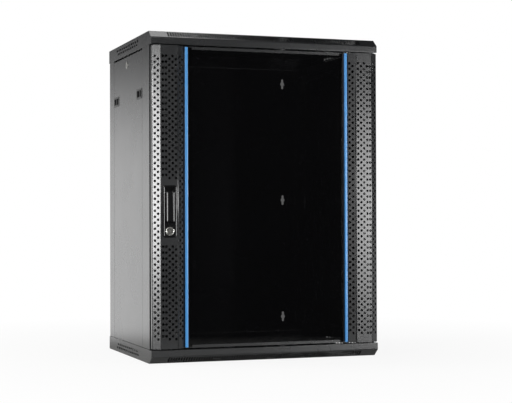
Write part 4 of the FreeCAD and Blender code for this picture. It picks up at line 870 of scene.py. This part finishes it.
def studio_world():
    """A room that is white where it is seen, and else bright only low behind the cabinet."""
    world = bpy.data.worlds.new("studio")
    bpy.context.scene.world = world
    world.use_nodes = True
    tree = world.node_tree
    tree.nodes.clear()
    direction = add(tree, "ShaderNodeTexCoord").outputs["Generated"]
    parts = add(tree, "ShaderNodeSeparateXYZ", links={"Vector": direction})
    behind = add(tree, RANGE, {"From Min": 0, "From Max": 0.5, "To Min": 0, "To Max": 1.5},
                 {"Value": parts.outputs["Y"]})
    low_down = add(tree, RANGE, {"From Min": 0.055, "From Max": 0.125, "To Min": 1,
                                 "To Max": 0.03}, {"Value": parts.outputs["Z"]})
    backdrop = add(tree, MATHS, {"operation": "MULTIPLY"}, {0: behind, 1: low_down})
    level = add(tree, MATHS, {"operation": "MAXIMUM", 1: 0.04}, {0: backdrop})
    around = add(tree, "ShaderNodeBackground", {"Color": srgb("#ffffff")}, {"Strength": level})
    seen = add(tree, "ShaderNodeBackground", {"Color": srgb("#ffffff"), "Strength": 1})
    straight = seen_directly(tree, add(tree, "ShaderNodeLightPath"))
    mixed = add(tree, "ShaderNodeMixShader", links={0: straight, 1: around, 2: seen})
    add(tree, "ShaderNodeOutputWorld", links={"Surface": mixed})


def pale_floor():
    """Matt white studio floor, lifted towards white where it is seen; it keeps the shadow.

    Glossy faces mirror it white behind the cabinet and dark in front of it, as they do the
    room above it.
    """
    material, tree, place = new_material("matt_white_floor")
    rays = add(tree, "ShaderNodeLightPath")
    rearward = add(tree, "ShaderNodeSeparateXYZ", links=place).outputs["Y"]
    behind = add(tree, RANGE, {"From Min": -0.5, "From Max": 0.2, "To Min": 0.04,
                               "To Max": 1.5}, {"Value": rearward})
    away = add(tree, "ShaderNodeVectorMath", {"operation": "LENGTH"}, place).outputs["Value"]
    clear = add(tree, RANGE, {"From Min": 0.5, "From Max": 0.9}, {"Value": away})
    straight = seen_directly(tree, rays)
    strength = add(tree, MIX, {"Color2": srgb("#ffffff")}, {"Fac": straight, "Color1": behind})
    mirrored = add(tree, MATHS, {"operation": "MULTIPLY"},
                   {0: rays.outputs["Is Glossy Ray"], 1: clear})
    lift = add(tree, RANGE, {"From Min": 0.3, "From Max": 1.4, "To Min": 0.9, "To Max": 1},
               {"Value": away})
    amount = add(tree, MATHS, {"operation": "MULTIPLY_ADD"}, {0: straight, 1: lift, 2: mirrored})
    matt = add(tree, "ShaderNodeBsdfDiffuse", {"Color": srgb("#e8e8e6")})
    glow = add(tree, "ShaderNodeEmission", {"Color": srgb("#ffffff")}, {"Strength": strength})
    mixed = add(tree, "ShaderNodeMixShader", links={0: amount, 1: matt, 2: glow})
    add(tree, "ShaderNodeOutputMaterial", links={"Surface": mixed})
    return material


# The right lamp shows in the flat of the right stile, the left one in the outer slope of the
# left stile, and the one above left in the slope of the top cover. The other two light the
# front and the top. Sizes and places are in metres.
LAMPS = {
    "softbox_right": {"place": around_front(46, 2.5, 0.4), "aim": (0.2, FRONT_FACE, 0.38),
                      "width": 1.6, "height": 0.78, "radiance": 12},
    "softbox_left": {"place": around_front(-58.5, 2.24, 0.5), "aim": (-0.29, FRONT_FACE, 0.45),
                     "width": 0.5, "height": 0.75, "radiance": 21},
    "softbox_fill": {"place": around_front(-14, 3.2, 1.3), "aim": (0, FRONT_FACE, 0.4),
                     "width": 1.3, "height": 1.3, "radiance": 4},
    "softbox_above": {"place": (-0.1, 0.1, 2.3), "aim": (-0.1, 0.1, 0),
                      "width": 0.85, "height": 0.9, "radiance": 3.2},
    "softbox_above_left": {"place": (-1.15, 0.2, 2.0), "aim": (-0.3, FRONT_FACE, 0.8),
                           "width": 0.4, "height": 0.4, "radiance": 30},
}
for lamp_name, lamp in LAMPS.items():
    softbox(lamp_name, **lamp)
studio_world()

floor_mesh = bmesh.new()
bmesh.ops.create_circle(floor_mesh, cap_ends=True, radius=FLOOR["radius"],
                        segments=FLOOR["sides"])
floor = mesh_object("studio_floor", floor_mesh)
floor.location.z = -FLOOR["drop"] * MM
floor.data.materials.append(pale_floor())

lens = bpy.data.cameras.new("camera")
lens.sensor_width = CAMERA["sensor"]
lens.lens = CAMERA["lens"]
camera = into_scene("camera", lens)
camera.matrix_world = (Matrix.Translation(at(CAMERA["x"], CAMERA["v"], CAMERA["z"]))
                       @ Matrix.Rotation(-math.radians(CAMERA["turn"]), 4, "Z")
                       @ Matrix.Rotation(math.radians(90 + CAMERA["rise"]), 4, "X")
                       @ Matrix.Rotation(math.radians(CAMERA["roll"]), 4, "Z"))
bpy.context.scene.camera = camera
bpy.context.scene.view_settings.view_transform = "Standard"
